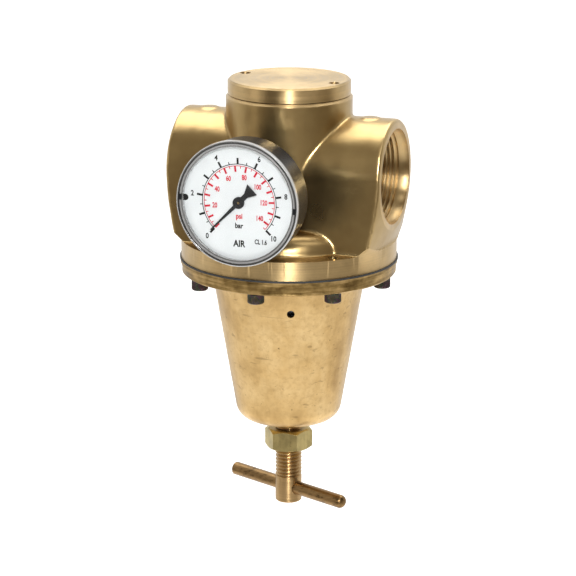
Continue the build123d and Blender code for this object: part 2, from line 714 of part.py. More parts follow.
def sector_pivot():
    """Distance of the sector's arbor below the pointer's axis."""
    return GEAR_MODULE * (PINION_TEETH + SECTOR_TEETH) / 2


def sector():
    """Toothed sector with its arbor and the tail that the link pulls."""
    pitch_radius = GEAR_MODULE * SECTOR_TEETH / 2
    step = 360.0 / SECTOR_TEETH
    rim_radius = pitch_radius - 1.2 * GEAR_MODULE
    low_angle = 90 + (SECTOR_FIRST_TOOTH - 0.5) * step
    high_angle = 90 + 1.5 * step
    middle_angle = (low_angle + high_angle) / 2
    start = on_circle(rim_radius, low_angle)
    middle = on_circle(rim_radius, middle_angle)
    end = on_circle(rim_radius, high_angle)
    fan = make_face([Line((0, 0), start), ThreePointArc(start, middle, end), Line(end, (0, 0))])
    window_spread = 0.32 * (high_angle - low_angle)
    window = []
    for radius, spread in ((3.6, 0.4), (10.5, 1.0), (10.5, -1.0), (3.6, -0.4)):
        window.append(on_circle(radius, middle_angle + spread * window_spread))
    plate = fan - Polygon(*window, align=None) + Circle(2.0)
    for index in range(SECTOR_FIRST_TOOTH, 2):
        plate += Rot(0, 0, 90 + index * step) * gear_tooth(pitch_radius, 0.34, 0.22, 0.1)
    tail = Pos(TAIL_LENGTH / 2, 0) * Rectangle(TAIL_LENGTH, 2.2) + Pos(TAIL_LENGTH, 0) * Circle(1.2)
    tail -= Pos(TAIL_LENGTH, 0) * Circle(0.55)
    plate += Rot(0, 0, TAIL_ANGLE) * tail
    body = Pos(0, 0, PINION_DEPTH) * extrude(plate, GEAR_THICKNESS)
    body += disc(0.8, BACK_PLATE, FRONT_PLATE + PLATE_THICKNESS)
    return on_gauge(Pos(0, -sector_pivot(), 0) * body)


def tail_pin():
    x, y = on_circle(TAIL_LENGTH, TAIL_ANGLE)
    return (x, y - sector_pivot())


def tip_pin():
    return on_circle(TUBE_RADIUS, TUBE_START - math.degrees(1.25 / TUBE_RADIUS))


def link():
    """Bar from the sector's tail to the tube's end, with the pin that goes through the tail."""
    start = tail_pin()
    end = tip_pin()
    length = math.dist(start, end)
    turn = math.degrees(math.atan2(end[1] - start[1], end[0] - start[0]))
    bar = Pos(length / 2, 0) * Rectangle(length, 1.4) + Circle(1.1) + Pos(length, 0) * Circle(1.1)
    bar -= Pos(length, 0) * Circle(0.5)
    body = Pos(0, 0, LINK_DEPTH) * extrude(bar, LINK_THICKNESS) + disc(0.5, PINION_DEPTH, LINK_DEPTH)
    return on_gauge(Pos(start[0], start[1], 0) * Rot(0, 0, turn) * body)


def movement_plate(depth):
    """Plate with bearing holes for the pointer's arbor and the sector's arbor."""
    plate = Pos(0, -7, depth) * extrude(RectangleRounded(16, 30, 2), PLATE_THICKNESS)
    plate -= disc(0.65, depth, depth + PLATE_THICKNESS)
    plate -= disc(0.85, depth, depth + PLATE_THICKNESS, 0, -sector_pivot())
    return plate


def front_plate():
    return on_gauge(movement_plate(FRONT_PLATE))


def back_plate():
    """Rear plate, with the stud that holds the hairspring's outer end."""
    plate = movement_plate(BACK_PLATE)
    for x, y in MOVEMENT_SCREW_PLACES:
        plate -= disc(MOVEMENT_SCREW_RADIUS, BACK_PLATE, BACK_PLATE + PLATE_THICKNESS, x, y)
    return on_gauge(plate + disc(0.35, BACK_PLATE + PLATE_THICKNESS, 66.1, 4.1, 0))


def movement_pillars():
    low = BACK_PLATE + PLATE_THICKNESS
    places = [(-6.5, 6.0), (6.5, 6.0), (-5.5, -20.0)]
    return Compound(children=[on_gauge(disc(1.0, low, FRONT_PLATE, x, y)) for x, y in places])


def movement_screws():
    low = BACK_PLATE + PLATE_THICKNESS
    screws = []
    for x, y in MOVEMENT_SCREW_PLACES:
        screw = disc(MOVEMENT_SCREW_RADIUS, MOVEMENT_SCREW_TIP, low, x, y)
        screws.append(on_gauge(screw + disc(1.4, low, low + 0.9, x, y)))
    return Compound(children=screws)


def hairspring():
    """Flat spiral that takes up the play between pinion and sector."""
    inner = 0.9
    outer = 3.65
    turns = 3
    steps = 24 * turns
    strip = 0.12
    rows = []
    for side in (0.0, strip):
        row = []
        for step in range(steps + 1):
            angle = 2 * math.pi * turns * step / steps
            radius = inner + (outer - inner) * step / steps + side
            row.append((radius * math.cos(angle), radius * math.sin(angle)))
        rows.append(row)
    outline = Polygon(*rows[0], *reversed(rows[1]), align=None)
    return on_gauge(Pos(0, 0, 65.6) * extrude(outline, 0.4))


def gauge_socket_with_holes():
    socket = gauge_socket()
    for x, y in MOVEMENT_SCREW_PLACES:
        socket -= on_gauge(disc(MOVEMENT_SCREW_RADIUS, MOVEMENT_SCREW_TIP, BACK_PLATE, x, y))
    return socket


PARTS = {
    "housing": housing,
    "top_cap": cap,
    "cap_o_ring": cap_o_ring,
    "guide_o_ring": guide_o_ring,
    "valve_spring": valve_spring,
    "valve_poppet": valve_poppet,
    "seat_disc": seat_disc,
    "valve_seat": valve_seat,
    "stem_guide": stem_guide,
    "diaphragm": diaphragm,
    "upper_plate": upper_plate,
    "lower_plate": lower_plate,
    "diaphragm_bolt": diaphragm_bolt,
    "diaphragm_nut": diaphragm_nut,
    "control_spring": control_spring,
    "spring_seat": spring_seat,
    "thrust_ball": thrust_ball,
    "bonnet": bonnet,
    "flange_screws": flange_screws,
    "lock_nut": lock_nut,
    "spindle": spindle,
    "tommy_bar": tommy_bar,
    "rear_plug": rear_plug,
    "rear_seal": rear_seal,
    "gauge_seal": gauge_seal,
    "gauge_socket": gauge_socket_with_holes,
    "gauge_case": gauge_case,
    "gauge_window": gauge_window,
    "gauge_dial": gauge_dial,
    "pointer": pointer,
    "pointer_pinion": pinion,
    "sector_gear": sector,
    "gauge_link": link,
    "hairspring": hairspring,
    "bourdon_tube": bourdon_tube,
    "tube_tip": tube_tip,
    "movement_back_plate": back_plate,
    "movement_front_plate": front_plate,
    "movement_pillars": movement_pillars,
    "movement_screws": movement_screws,
}

os.makedirs("parts", exist_ok=True)
for name, make in PARTS.items():
    export_step(make(), f"parts/{name}.step")
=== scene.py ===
import math

import bmesh
import bpy
from mathutils import Matrix, Vector, noise


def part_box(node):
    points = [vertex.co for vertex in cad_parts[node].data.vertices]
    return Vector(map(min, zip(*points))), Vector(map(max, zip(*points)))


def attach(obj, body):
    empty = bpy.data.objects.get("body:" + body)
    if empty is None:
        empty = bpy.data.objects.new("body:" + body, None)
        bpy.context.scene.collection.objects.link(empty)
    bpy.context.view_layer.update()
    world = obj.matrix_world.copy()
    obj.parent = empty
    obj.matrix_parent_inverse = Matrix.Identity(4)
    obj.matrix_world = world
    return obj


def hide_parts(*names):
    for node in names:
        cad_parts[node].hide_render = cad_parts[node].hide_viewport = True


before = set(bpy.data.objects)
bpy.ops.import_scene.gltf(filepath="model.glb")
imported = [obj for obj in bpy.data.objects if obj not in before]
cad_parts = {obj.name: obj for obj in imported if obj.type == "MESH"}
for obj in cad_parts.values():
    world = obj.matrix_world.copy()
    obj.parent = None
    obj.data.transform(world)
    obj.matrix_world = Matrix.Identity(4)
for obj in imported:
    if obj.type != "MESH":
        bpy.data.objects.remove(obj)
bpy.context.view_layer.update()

MM = 0.001

# Places and sizes that come from the frame, in metres
HOUSING_LOW, HOUSING_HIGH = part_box("housing")
PORT_HALF = HOUSING_HIGH.x
FLANGE_RADIUS = HOUSING_HIGH.y
FLANGE_BOTTOM = HOUSING_LOW.z
NECK_TOP = HOUSING_HIGH.z
BONNET_LOW, BONNET_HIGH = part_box("bonnet")
SPINDLE_LOW, SPINDLE_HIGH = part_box("spindle")
SCREWS_LOW, SCREWS_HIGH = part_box("flange_screws")
WINDOW_LOW, WINDOW_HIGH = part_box("gauge_window")
BAR_LOW, BAR_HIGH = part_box("tommy_bar")
BAR_HEIGHT = (BAR_LOW.z + BAR_HIGH.z) / 2
GAUGE_HEIGHT = (WINDOW_LOW.z + WINDOW_HIGH.z) / 2
WINDOW_FRONT = -WINDOW_LOW.y
DIAL_FACE = -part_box("gauge_dial")[0].y
GAUGE_BOSS_FACE = -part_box("gauge_seal")[1].y

# Housing details
FLANGE_TOP = FLANGE_BOTTOM + 9.7 * MM
NECK_RADIUS = 32.46 * MM
NECK_CHAMFER = 1.3 * MM
DOME_RADIUS = 46.0 * MM
DOME_TOP = FLANGE_TOP + 10.65 * MM
BOSS_HALF_WIDTH = 28.2 * MM
BOSS_TOP = 29.4 * MM
BOSS_FOOT_HALF_WIDTH = 30.6 * MM
BOSS_FOOT = -36.0 * MM
BOSS_TAPER_RADIUS = 51.4 * MM
BOSS_TAPER_LENGTH = 7.0 * MM
PAD_RADIUS = 4.6 * MM
PAD_HEIGHT = 0.55 * MM
PAD_OFFSET = 43.5 * MM
PORT_FACE_RADIUS = 27.5 * MM
PORT_THREAD_RADIUS = 23.9 * MM
PORT_THREAD_CREST = 22.42 * MM
PORT_THREAD_START = 31.0 * MM
PORT_MOUTH_DEPTH = 5.0 * MM
PORT_PITCH = 2.309 * MM
GAUGE_BOSS_RADIUS = 11.0 * MM
VALVE_ROOM_RADIUS = 31.3 * MM
VALVE_ROOM_FLOOR = -30.0 * MM
DIAPHRAGM_ROOM_RADIUS = 40.0 * MM
CAST_VOXEL = 0.55 * MM

# Screws and bonnet
SCREW_COUNT = 8
SCREW_CIRCLE = 50.6 * MM
SCREW_RADIUS = 2.5 * MM
SCREW_HEAD_HEIGHT = 5.0 * MM
SCREW_HEAD_RADIUS = SCREWS_HIGH.x - SCREW_CIRCLE
SCREW_CLEARANCE_RADIUS = 2.75 * MM
SPOT_FACE_RADIUS = 4.9 * MM
BONNET_FLANGE_LOW = SCREWS_LOW.z + SCREW_HEAD_HEIGHT
VENT_HEIGHT = -67.4 * MM
VENT_RADIUS = 2.0 * MM
VENT_TURN = math.radians(20.6)

# Spindle and its bar
SPINDLE_PITCH = 2.0 * MM
SPINDLE_THREAD_END = SPINDLE_LOW.z + 13.65 * MM
SPINDLE_ROOT = 5.75 * MM
BAR_TURN = math.radians(-24.8)
BAR_HOLE_RADIUS = 3.62 * MM

ARC_STEPS = 8
THREAD_STEPS = 72
SIXTH = math.pi / 3

# Places whose local Z runs along the ports and along the gauge's axis
PORT_PLACE = Matrix(((0, 0, 1, 0), (1, 0, 0, 0), (0, 1, 0, 0), (0, 0, 0, 1)))
GAUGE_PLACE = Matrix(((1, 0, 0, 0), (0, 0, -1, 0), (0, 1, 0, GAUGE_HEIGHT), (0, 0, 0, 1)))


# Mesh tools


def new_piece(name, bm):
    """Makes an object in the scene from a bmesh, which it frees."""
    mesh = bpy.data.meshes.new(name)
    bm.to_mesh(mesh)
    bm.free()
    piece = bpy.data.objects.new(name, mesh)
    bpy.context.scene.collection.objects.link(piece)
    return piece


def bridge(bm, near, far):
    """Faces between two closed rings of as many points."""
    for index in range(len(near)):
        after = (index + 1) % len(near)
        bm.faces.new((near[index], far[index], far[after], near[after]))


def outline(corners, longest=None):
    """Points of an outline of (radius, height) or (radius, height, rounding) corners, with arcs at
    the roundings and no step longer than the longest, where one is given."""
    points = []
    count = len(corners)
    for index, corner in enumerate(corners):
        here = Vector(corner[:2])
        if len(corner) < 3:
            points.append(here)
            continue
        before = (Vector(corners[index - 1][:2]) - here).normalized()
        after = (Vector(corners[(index + 1) % count][:2]) - here).normalized()
        half = before.angle(after) / 2
        centre = here + (before + after).normalized() * corner[2] / math.sin(half)
        start = here + before * corner[2] / math.tan(half) - centre
        end = here + after * corner[2] / math.tan(half) - centre
        for step in range(ARC_STEPS + 1):
            points.append(centre + start.slerp(end, step / ARC_STEPS).normalized() * corner[2])
    if longest is None:
        return points
    fine = []
    for index, point in enumerate(points):
        following = points[(index + 1) % len(points)]
        parts = max(1, math.ceil((following - point).length / longest))
        fine += [point.lerp(following, part / parts) for part in range(parts)]
    return fine


def lathe(name, corners, place=None, steps=192, longest=None):
    """Closed solid turned about local Z. An outline that doesn't touch the axis closes as a ring."""
    points = outline(corners, longest)
    bm = bmesh.new()
    rings = []
    for step in range(steps):
        angle = 2 * math.pi * step / steps
        cosine, sine = math.cos(angle), math.sin(angle)
        rings.append([bm.verts.new((p.x * cosine, p.x * sine, p.y)) for p in points])
    for step in range(steps):
        near, far = rings[step], rings[(step + 1) % steps]
        for index in range(len(points)):
            after = (index + 1) % len(points)
            if points[index].x or points[after].x:
                bm.faces.new((near[index], far[index], far[after], near[after]))
    bmesh.ops.remove_doubles(bm, verts=bm.verts, dist=1e-8)
    bmesh.ops.recalc_face_normals(bm, faces=bm.faces)
    if place is not None:
        bmesh.ops.transform(bm, matrix=place, verts=bm.verts)
    return new_piece(name, bm)


def drum(name, radius, low, high, place=None, steps=96):
    """Plain cylinder between two heights, used as a cutter or as one body of a casting."""
    return lathe(name, [(0, low), (radius, low), (radius, high), (0, high)], place, steps)


def settle(piece):
    """Applies a piece's modifiers to its mesh."""
    bpy.context.view_layer.update()
    graph = bpy.context.evaluated_depsgraph_get()
    mesh = bpy.data.meshes.new_from_object(piece.evaluated_get(graph))
    piece.modifiers.clear()
    piece.data = mesh


def carve(piece, tool, operation="DIFFERENCE"):
    """Cuts, trims or extends a piece by another solid, which is used up."""
    modifier = piece.modifiers.new("carve", "BOOLEAN")
    modifier.operation = operation
    modifier.solver = "MANIFOLD"
    modifier.object = tool
    settle(piece)
    bpy.data.objects.remove(tool)


def joined(name, pieces):
    """One object that holds the meshes of several."""
    bm = bmesh.new()
    for piece in pieces:
        bm.from_mesh(piece.data)
        bpy.data.objects.remove(piece)
    return new_piece(name, bm)


def cad_copy(node):
    """Watertight copy of a CAD node's mesh, for carving."""
    bm = bmesh.new()
    bm.from_mesh(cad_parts[node].data)
    bmesh.ops.remove_doubles(bm, verts=bm.verts, dist=1e-7)
    return new_piece(node + "_copy", bm)


def around(count, radius):
    """Points evenly spaced on a circle, from +X on."""
    angles = [math.radians(360.0 * step / count) for step in range(count)]
    return [Vector((radius * math.cos(angle), radius * math.sin(angle), 0)) for angle in angles]


def smooth_by_angle(piece, degrees):
    """Smooth shading with sharp edges where the surface turns by more than the angle."""
    piece.data.shade_smooth()
    piece.data.set_sharp_from_angle(angle=math.radians(degrees))


def roughen(piece, height_at):
    """Moves each point along its normal by what height_at gives for it, in metres."""
    mesh = piece.data
    moved = [v.co + v.normal * height_at(v.co, v.normal) for v in mesh.vertices]
    for vertex, place in zip(mesh.vertices, moved):
        vertex.co = place
    mesh.update()


def thread(name, crest, root, low, high, pitch, wall, place=None, chamfer=0.0):
    """Helical thread between two heights. The wall radius closes the solid: 0 makes a screw, and
    a radius beyond the root makes the threaded sleeve of a hole. The profile is given by shares of
    the pitch and, for each, how far it stands out from the root."""
    shares = (0.00, 0.10, 0.18, 0.50, 0.58, 0.68)
    levels = (1.0, 1.0, 0.92, 0.0, 0.0, 0.06)
    turns = math.ceil((high - low) / pitch) + 2
    sign = 1 if crest > root else -1

    def radius_at(phase, height):
        phase %= 1.0
        for index, start in enumerate(shares):
            end = shares[index + 1] if index + 1 < len(shares) else 1.0
            if start <= phase <= end:
                part = (phase - start) / (end - start)
                level = levels[index] * (1 - part) + levels[(index + 1) % len(levels)] * part
                break
        radius = root + (crest - root) * level
        edge = min(height - low, high - height)
        limit = crest - sign * max(0.0, chamfer - edge)
        return min(radius, limit) if sign > 0 else max(radius, limit)

    bm = bmesh.new()
    columns = []
    for step in range(THREAD_STEPS + 1):
        turn = step / THREAD_STEPS
        cosine, sine = math.cos(2 * math.pi * turn), math.sin(2 * math.pi * turn)
        column = []
        for row in range(turns * len(shares)):
            phase = row // len(shares) + shares[row % len(shares)]
            height = min(max(low + (phase + turn - 1) * pitch, low), high)
            radius = radius_at((height - low) / pitch - turn + 1, height)
            column.append((radius, height))
        column += [(wall, high), (wall, low)]
        columns.append([bm.verts.new((r * cosine, r * sine, z)) for r, z in column])
    for near, far in zip(columns, columns[1:]):
        bridge(bm, near, far)
    bmesh.ops.remove_doubles(bm, verts=bm.verts, dist=1e-7)
    bmesh.ops.dissolve_degenerate(bm, edges=bm.edges, dist=1e-7)
    bmesh.ops.recalc_face_normals(bm, faces=bm.faces)
    if place is not None:
        bmesh.ops.transform(bm, matrix=place, verts=bm.verts)
    return new_piece(name, bm)


# Material tools


def rgba(colour):
    """Colour with full alpha, as sockets and ramps take it."""
    return (*colour, 1.0)


def shade(tint, factor):
    """Darker or lighter version of a colour."""
    return tuple(min(1.0, factor * c) for c in tint)


def grey(value):
    """Colour without a hue."""
    return (value, value, value)


class Nodes:
    """Puts nodes into a node tree: add() makes any node, and the rest are the usual steps."""

    def __init__(self, tree):
        self.tree = tree

    def add(self, kind, inputs=(), **settings):
        node = self.tree.nodes.new("ShaderNode" + kind)
        for key, value in settings.items():
            setattr(node, key, value)
        for key, value in dict(inputs).items():
            self.feed(node.inputs[key], value)
        return node

    def feed(self, socket, value):
        """Links another node's output to a socket, or sets the socket's value."""
        if isinstance(value, bpy.types.NodeSocket):
            self.tree.links.new(value, socket)
        else:
            socket.default_value = value

    def ramp(self, value, stops, interpolation="LINEAR"):
        """Colour ramp of (position, colour) stops."""
        node = self.add("ValToRGB", {"Fac": value})
        node.color_ramp.interpolation = interpolation
        elements = node.color_ramp.elements
        while len(elements) < len(stops):
            elements.new(0.5)
        for element, (position, colour) in zip(elements, stops):
            element.position = position
            element.color = rgba(colour)
        return node.outputs["Color"]

    def span(self, value, low, high, from_low=0.3, from_high=0.7, interpolation="LINEAR"):
        """Value stretched from one range to another, held at its ends."""
        inputs = {"Value": value, "From Min": from_low, "From Max": from_high}
        inputs.update({"To Min": low, "To Max": high})
        return self.add("MapRange", inputs, interpolation_type=interpolation).outputs["Result"]

    def maths(self, operation, first, second):
        """Result of a Math node."""
        node = self.add("Math", {0: first, 1: second}, operation=operation)
        return node.outputs["Value"]

    def mix(self, share, first, second):
        """Second colour over the first, by its share."""
        inputs = {"Factor": share, 6: first, 7: second}
        return self.add("Mix", inputs, data_type="RGBA").outputs[2]


class Paint(Nodes):
    """A node material in the making, with the steps that a painted or metal surface needs."""

    def __init__(self, name, **surface):
        self.material = bpy.data.materials.new(name)
        self.material.use_nodes = True
        super().__init__(self.material.node_tree)
        self.surface = self.tree.nodes["Principled BSDF"]
        self.place = self.add("TexCoord").outputs["Object"]
        for key, value in surface.items():
            self.surface.inputs[key.replace("_", " ")].default_value = value

    def mapped(self, scale=(1, 1, 1), turn=(0, 0, 0), shift=(0, 0, 0)):
        """Place on the object, scaled, turned and shifted."""
        inputs = {"Vector": self.place, "Scale": scale, "Rotation": turn, "Location": shift}
        return self.add("Mapping", inputs).outputs["Vector"]

    def noise(self, scale, detail, roughness, vector=None):
        inputs = {"Scale": scale, "Detail": detail, "Roughness": roughness}
        inputs["Vector"] = self.place if vector is None else vector
        return self.add("TexNoise", inputs).outputs["Fac"]

    def weighted(self, first, second, share):
        """First value by its share, plus the second by the rest."""
        first = self.maths("MULTIPLY", first, share)
        second = self.maths("MULTIPLY", second, round(1 - share, 3))
        return self.maths("ADD", first, second)

    def radius(self, along):
        """Distance from the axis that runs through the origin, or the gauge's axis for Y."""
        shift = (0, 0, -GAUGE_HEIGHT) if along == "Y" else (0, 0, 0)
        flat = {"X": (0, 1, 1), "Y": (1, 0, 1), "Z": (1, 1, 0)}[along]
        across = self.add("VectorMath", {0: self.mapped(shift=shift), 1: flat}, operation="MULTIPLY")
        length = self.add("VectorMath", {0: across.outputs["Vector"]}, operation="LENGTH")
        return length.outputs["Value"]

    def bump(self, height, strength, distance, normal=None):
        """Normals of a surface raised by the height, over another bump's normals."""
        inputs = {"Height": height, "Strength": strength, "Distance": distance}
        if normal is not None:
            inputs["Normal"] = normal
        return self.add("Bump", inputs).outputs["Normal"]

    def soft_edges(self, radius):
        """Normals rounded at the edges, as a broken corner is."""
        return self.add("Bevel", {"Radius": radius}, samples=4).outputs["Normal"]

    def colour(self, value):
        self.feed(self.surface.inputs["Base Color"], value)

    def gloss(self, value):
        self.feed(self.surface.inputs["Roughness"], value)

    def normal(self, value):
        self.feed(self.surface.inputs["Normal"], value)


def cast_brass():
    """Burnished sand-cast brass: brown where it is tarnished, golden where it is rubbed."""
    tarnished, golden, worn_gold = (0.39, 0.27, 0.118), (0.48, 0.345, 0.155), (0.70, 0.52, 0.26)
    paint = Paint("cast_brass", Metallic=1.0)
    broad = paint.noise(34, 3, 0.5)
    patch = paint.noise(120, 2, 0.5)
    middle = tuple((a + b) / 2 for a, b in zip(tarnished, golden))
    stops = [(0.34, tarnished), (0.50, middle), (0.66, golden)]
    colour = paint.ramp(paint.weighted(broad, patch, 0.6), stops)
    edge = paint.add("NewGeometry").outputs["Pointiness"]
    worn = paint.span(edge, 0.0, 0.75, 0.505, 0.54)
    paint.colour(paint.mix(worn, colour, rgba(worn_gold)))
    paint.gloss(paint.span(broad, 0.27, 0.31))
    waves = paint.bump(paint.noise(130, 3, 0.5), 0.10, 0.3 * MM)
    paint.normal(paint.bump(paint.noise(1300, 4, 0.6), 0.05, 0.06 * MM, waves))
    return paint.material


def turned_brass(name="turned_brass", tint=(0.56, 0.405, 0.20), axis="Z", rough=0.36, streak=0.86):
    """Satin lathe-turned brass: fine grooves round the axis that draw highlights out across them."""
    paint = Paint(name, Metallic=1.0, Anisotropic=streak, Anisotropic_Rotation=0.25)
    tangent = paint.add("Tangent", direction_type="RADIAL", axis=axis)
    paint.feed(paint.surface.inputs["Tangent"], tangent.outputs["Tangent"])
    parts = paint.add("SeparateXYZ", {"Vector": paint.place})
    grooves = paint.add("CombineXYZ", {"X": paint.radius(axis), "Y": parts.outputs[axis]})
    rings = paint.noise(5200, 2, 0.6, grooves.outputs["Vector"])
    bands = paint.noise(900, 2, 0.5, grooves.outputs["Vector"])
    cloud = paint.noise(90, 4, 0.6)
    stops = [(0.36, shade(tint, 0.80)), (0.62, shade(tint, 1.08))]
    colour = paint.ramp(paint.weighted(bands, cloud, 0.4), stops)
    spots = paint.span(paint.noise(420, 3, 0.6), 1.0, 0.0, 0.27, 0.34)
    paint.colour(paint.mix(paint.maths("MULTIPLY", spots, 0.3), colour, rgba(shade(tint, 0.4))))
    paint.gloss(paint.span(bands, rough - 0.05, rough + 0.08))
    lines = paint.bump(rings, 0.25, 0.012 * MM, paint.soft_edges(0.18 * MM))
    paint.normal(paint.bump(cloud, 0.12, 0.15 * MM, lines))
    return paint.material


def bonnet_brass():
    """Sand-cast brass of the spring bonnet: pale gold, stained in streaks and finely pitted."""
    stained, plain, pale = (0.36, 0.225, 0.085), (0.60, 0.41, 0.18), (0.74, 0.54, 0.27)
    speckle, pit, scored = (0.40, 0.26, 0.11), (0.05, 0.03, 0.012), (0.16, 0.10, 0.045)
    paint = Paint("bonnet_brass", Metallic=1.0)
    broad = paint.noise(38, 5, 0.62)
    fine = paint.noise(420, 5, 0.7)
    streaks = paint.noise(60, 4, 0.6, paint.mapped((1.0, 1.0, 0.28)))
    stops = [(0.32, stained), (0.47, plain), (0.62, pale)]
    colour = paint.ramp(paint.weighted(broad, streaks, 0.5), stops)
    colour = paint.mix(paint.span(fine, 0.45, 0.0, 0.30, 0.52), colour, rgba(speckle))
    pits = paint.span(paint.noise(700, 2, 0.5), 1.0, 0.0, 0.22, 0.29)
    colour = paint.mix(paint.maths("MULTIPLY", pits, 0.8), colour, rgba(pit))
    scratch = paint.noise(300, 2, 0.4, paint.mapped((0.12, 1.0, 1.6), (0.5, 0.7, 0.3)))
    paint.colour(paint.mix(paint.span(scratch, 0.0, 0.35, 0.66, 0.72), colour, rgba(scored)))
    paint.gloss(paint.span(broad, 0.30, 0.36))
    grain = paint.bump(paint.noise(1500, 4, 0.65), 0.35, 0.05 * MM)
    paint.normal(paint.bump(paint.noise(170, 3, 0.5), 0.25, 0.3 * MM, grain))
    return paint.material


def flange_edge_brass():
    """Rim of the bonnet's flange: rough cast with turned lines round it."""
    dark, plain, pale = (0.17, 0.105, 0.035), (0.36, 0.24, 0.09), (0.62, 0.43, 0.19)
    paint = Paint("flange_edge_brass", Metallic=1.0)
    lines = paint.noise(900, 3, 0.6, paint.mapped((0.05, 0.05, 1.0)))
    cloud = paint.noise(160, 4, 0.6)
    stops = [(0.36, dark), (0.5, plain), (0.64, pale)]
    paint.colour(paint.ramp(paint.weighted(lines, cloud, 0.55), stops))
    paint.gloss(paint.span(cloud, 0.30, 0.48))
    rough = paint.bump(lines, 0.6, 0.10 * MM)
    paint.normal(paint.bump(paint.noise(1400, 3, 0.6), 0.5, 0.08 * MM, rough))
    return paint.material


def nut_brass():
    """Satin brass of the hexagon nut, with fine cutter marks."""
    tint = (0.62, 0.50, 0.22)
    paint = Paint("nut_brass", Metallic=1.0)
    marks = paint.noise(700, 3, 0.6, paint.mapped((1.0, 1.0, 0.15)))
    cloud = paint.noise(140, 4, 0.6)
    colour = paint.ramp(cloud, [(0.35, shade(tint, 0.66)), (0.6, tint)])
    paint.colour(paint.mix(paint.span(marks, 0.0, 0.3), colour, rgba(shade(tint, 0.5))))
    paint.gloss(paint.span(marks, 0.27, 0.40))
    paint.normal(paint.bump(marks, 0.25, 0.02 * MM, paint.soft_edges(0.2 * MM)))
    return paint.material


def drawn_bronze(name, tint, turn=0.0):
    """Drawn bar stock: streaks along X, or along the turned X, and brown tarnish."""
    paint = Paint(name, Metallic=1.0)
    streaks = paint.noise(900, 3, 0.6, paint.mapped((0.06, 1.0, 1.0), (0, 0, turn)))
    cloud = paint.noise(120, 5, 0.65)
    stops = [(0.36, shade(tint, 0.45)), (0.5, tint), (0.66, shade(tint, 1.25))]
    paint.colour(paint.ramp(paint.weighted(streaks, cloud, 0.55), stops))
    paint.gloss(paint.span(streaks, 0.26, 0.44))
    paint.normal(paint.bump(streaks, 0.4, 0.02 * MM, paint.soft_edges(0.2 * MM)))
    return paint.material


def plated_steel(name, stops, rough=0.30):
    """Zinc plated steel, with a passivation colour that drifts over it."""
    paint = Paint(name, Metallic=1.0)
    paint.colour(paint.ramp(paint.noise(230, 3, 0.55), stops))
    grain = paint.noise(2200, 3, 0.6)
    paint.gloss(paint.span(grain, rough, rough + 0.16))
    paint.normal(paint.bump(grain, 0.3, 0.02 * MM, paint.soft_edges(0.12 * MM)))
    return paint.material


def moulded(name, tint, rough=0.42, grain=1600, depth=0.3, shine=0.5):
    """Moulded plastic or rubber with a fine texture."""
    paint = Paint(name, Specular_IOR_Level=shine)
    stops = [(0.35, shade(tint, 0.8)), (0.65, shade(tint, 1.15))]
    paint.colour(paint.ramp(paint.noise(150, 3, 0.5), stops))
    fine = paint.noise(grain, 3, 0.6)
    paint.gloss(paint.span(fine, rough - 0.05, rough + 0.08))
    paint.normal(paint.bump(fine, depth, 0.02 * MM, paint.soft_edges(0.15 * MM)))
    return paint.material


def clear_pane():
    """Thin clear plastic: see-through, with a mirror-like surface."""
    paint = Paint("clear_plastic")
    clear = paint.add("BsdfTransparent", {"Color": (0.985, 0.99, 0.99, 1.0)})
    ripple = paint.bump(paint.noise(160, 2, 0.4), 0.05, 0.1 * MM)
    shine = paint.add("BsdfGlossy", {"Roughness": 0.03, "Normal": ripple})
    share = paint.add("Fresnel", {"IOR": 1.35, "Normal": ripple})
    inputs = {0: share.outputs["Fac"], 1: clear.outputs["BSDF"], 2: shine.outputs["BSDF"]}
    blend = paint.add("MixShader", inputs)
    paint.feed(paint.tree.nodes["Material Output"].inputs["Surface"], blend.outputs["Shader"])
    return paint.material


def window_rim():
    """Thick clear rim of the window, drawn in opaque greys: its rings are the dark case and the pale
    dial painted as seen through it, with painted highlights on its edges.
    """
    paint = Paint("window_rim", Coat_Weight=1.0, Coat_Roughness=0.04, Roughness=0.25)
    inner, outer = 27.6 * MM, 31.6 * MM
    across = paint.span(paint.radius("Y"), 0.0, 1.0, inner, outer)
    wobble = paint.maths("MULTIPLY", paint.maths("SUBTRACT", paint.noise(120, 2, 0.5), 0.5), 0.10)
    # Painted light: dark rings for the case seen through the rim, pale rings for the dial seen
    # through it and for highlights on its edges
    rings = [(0.0, 0.50), (0.17, 0.30), (0.28, 0.035), (0.36, 0.16), (0.52, 0.20)]
    rings += [(0.62, 0.02), (0.80, 0.03), (0.90, 0.34), (1.0, 0.30)]
    stops = [(position, grey(value)) for position, value in rings]
    paint.colour(paint.ramp(paint.maths("ADD", across, wobble), stops))
    paint.normal(paint.bump(paint.noise(300, 2, 0.5), 0.1, 0.05 * MM))
    return paint.material


def ink(name, tint):
    """Screen-printed ink."""
    paint = Paint(name, Roughness=0.5, Specular_IOR_Level=0.25)
    cloud = paint.noise(900, 3, 0.5)
    paint.colour(paint.ramp(cloud, [(0.3, shade(tint, 0.85)), (0.7, tint)]))
    paint.normal(paint.bump(cloud, 0.1, 0.01 * MM))
    return paint.material


def dial_paint():
    """White enamel of the dial."""
    paint = Paint("white_dial", Roughness=0.5)
    cloud = paint.noise(120, 4, 0.5)
    paint.colour(paint.ramp(cloud, [(0.3, (0.65, 0.67, 0.68)), (0.7, (0.69, 0.71, 0.72))]))
    paint.normal(paint.bump(paint.noise(2600, 2, 0.5), 0.08, 0.01 * MM))
    return paint.material


# Passivation colours of plated steel, as stops of a ramp
ZINC = [(0.35, (0.55, 0.55, 0.56)), (0.65, grey(0.70))]
OILED = [(0.35, (0.20, 0.20, 0.22)), (0.65, (0.33, 0.33, 0.35))]
RAINBOW = [
    (0.30, (0.075, 0.065, 0.05)),
    (0.42, (0.105, 0.055, 0.075)),
    (0.50, (0.060, 0.080, 0.062)),
    (0.58, (0.120, 0.095, 0.060)),
    (0.70, (0.070, 0.060, 0.085)),
]

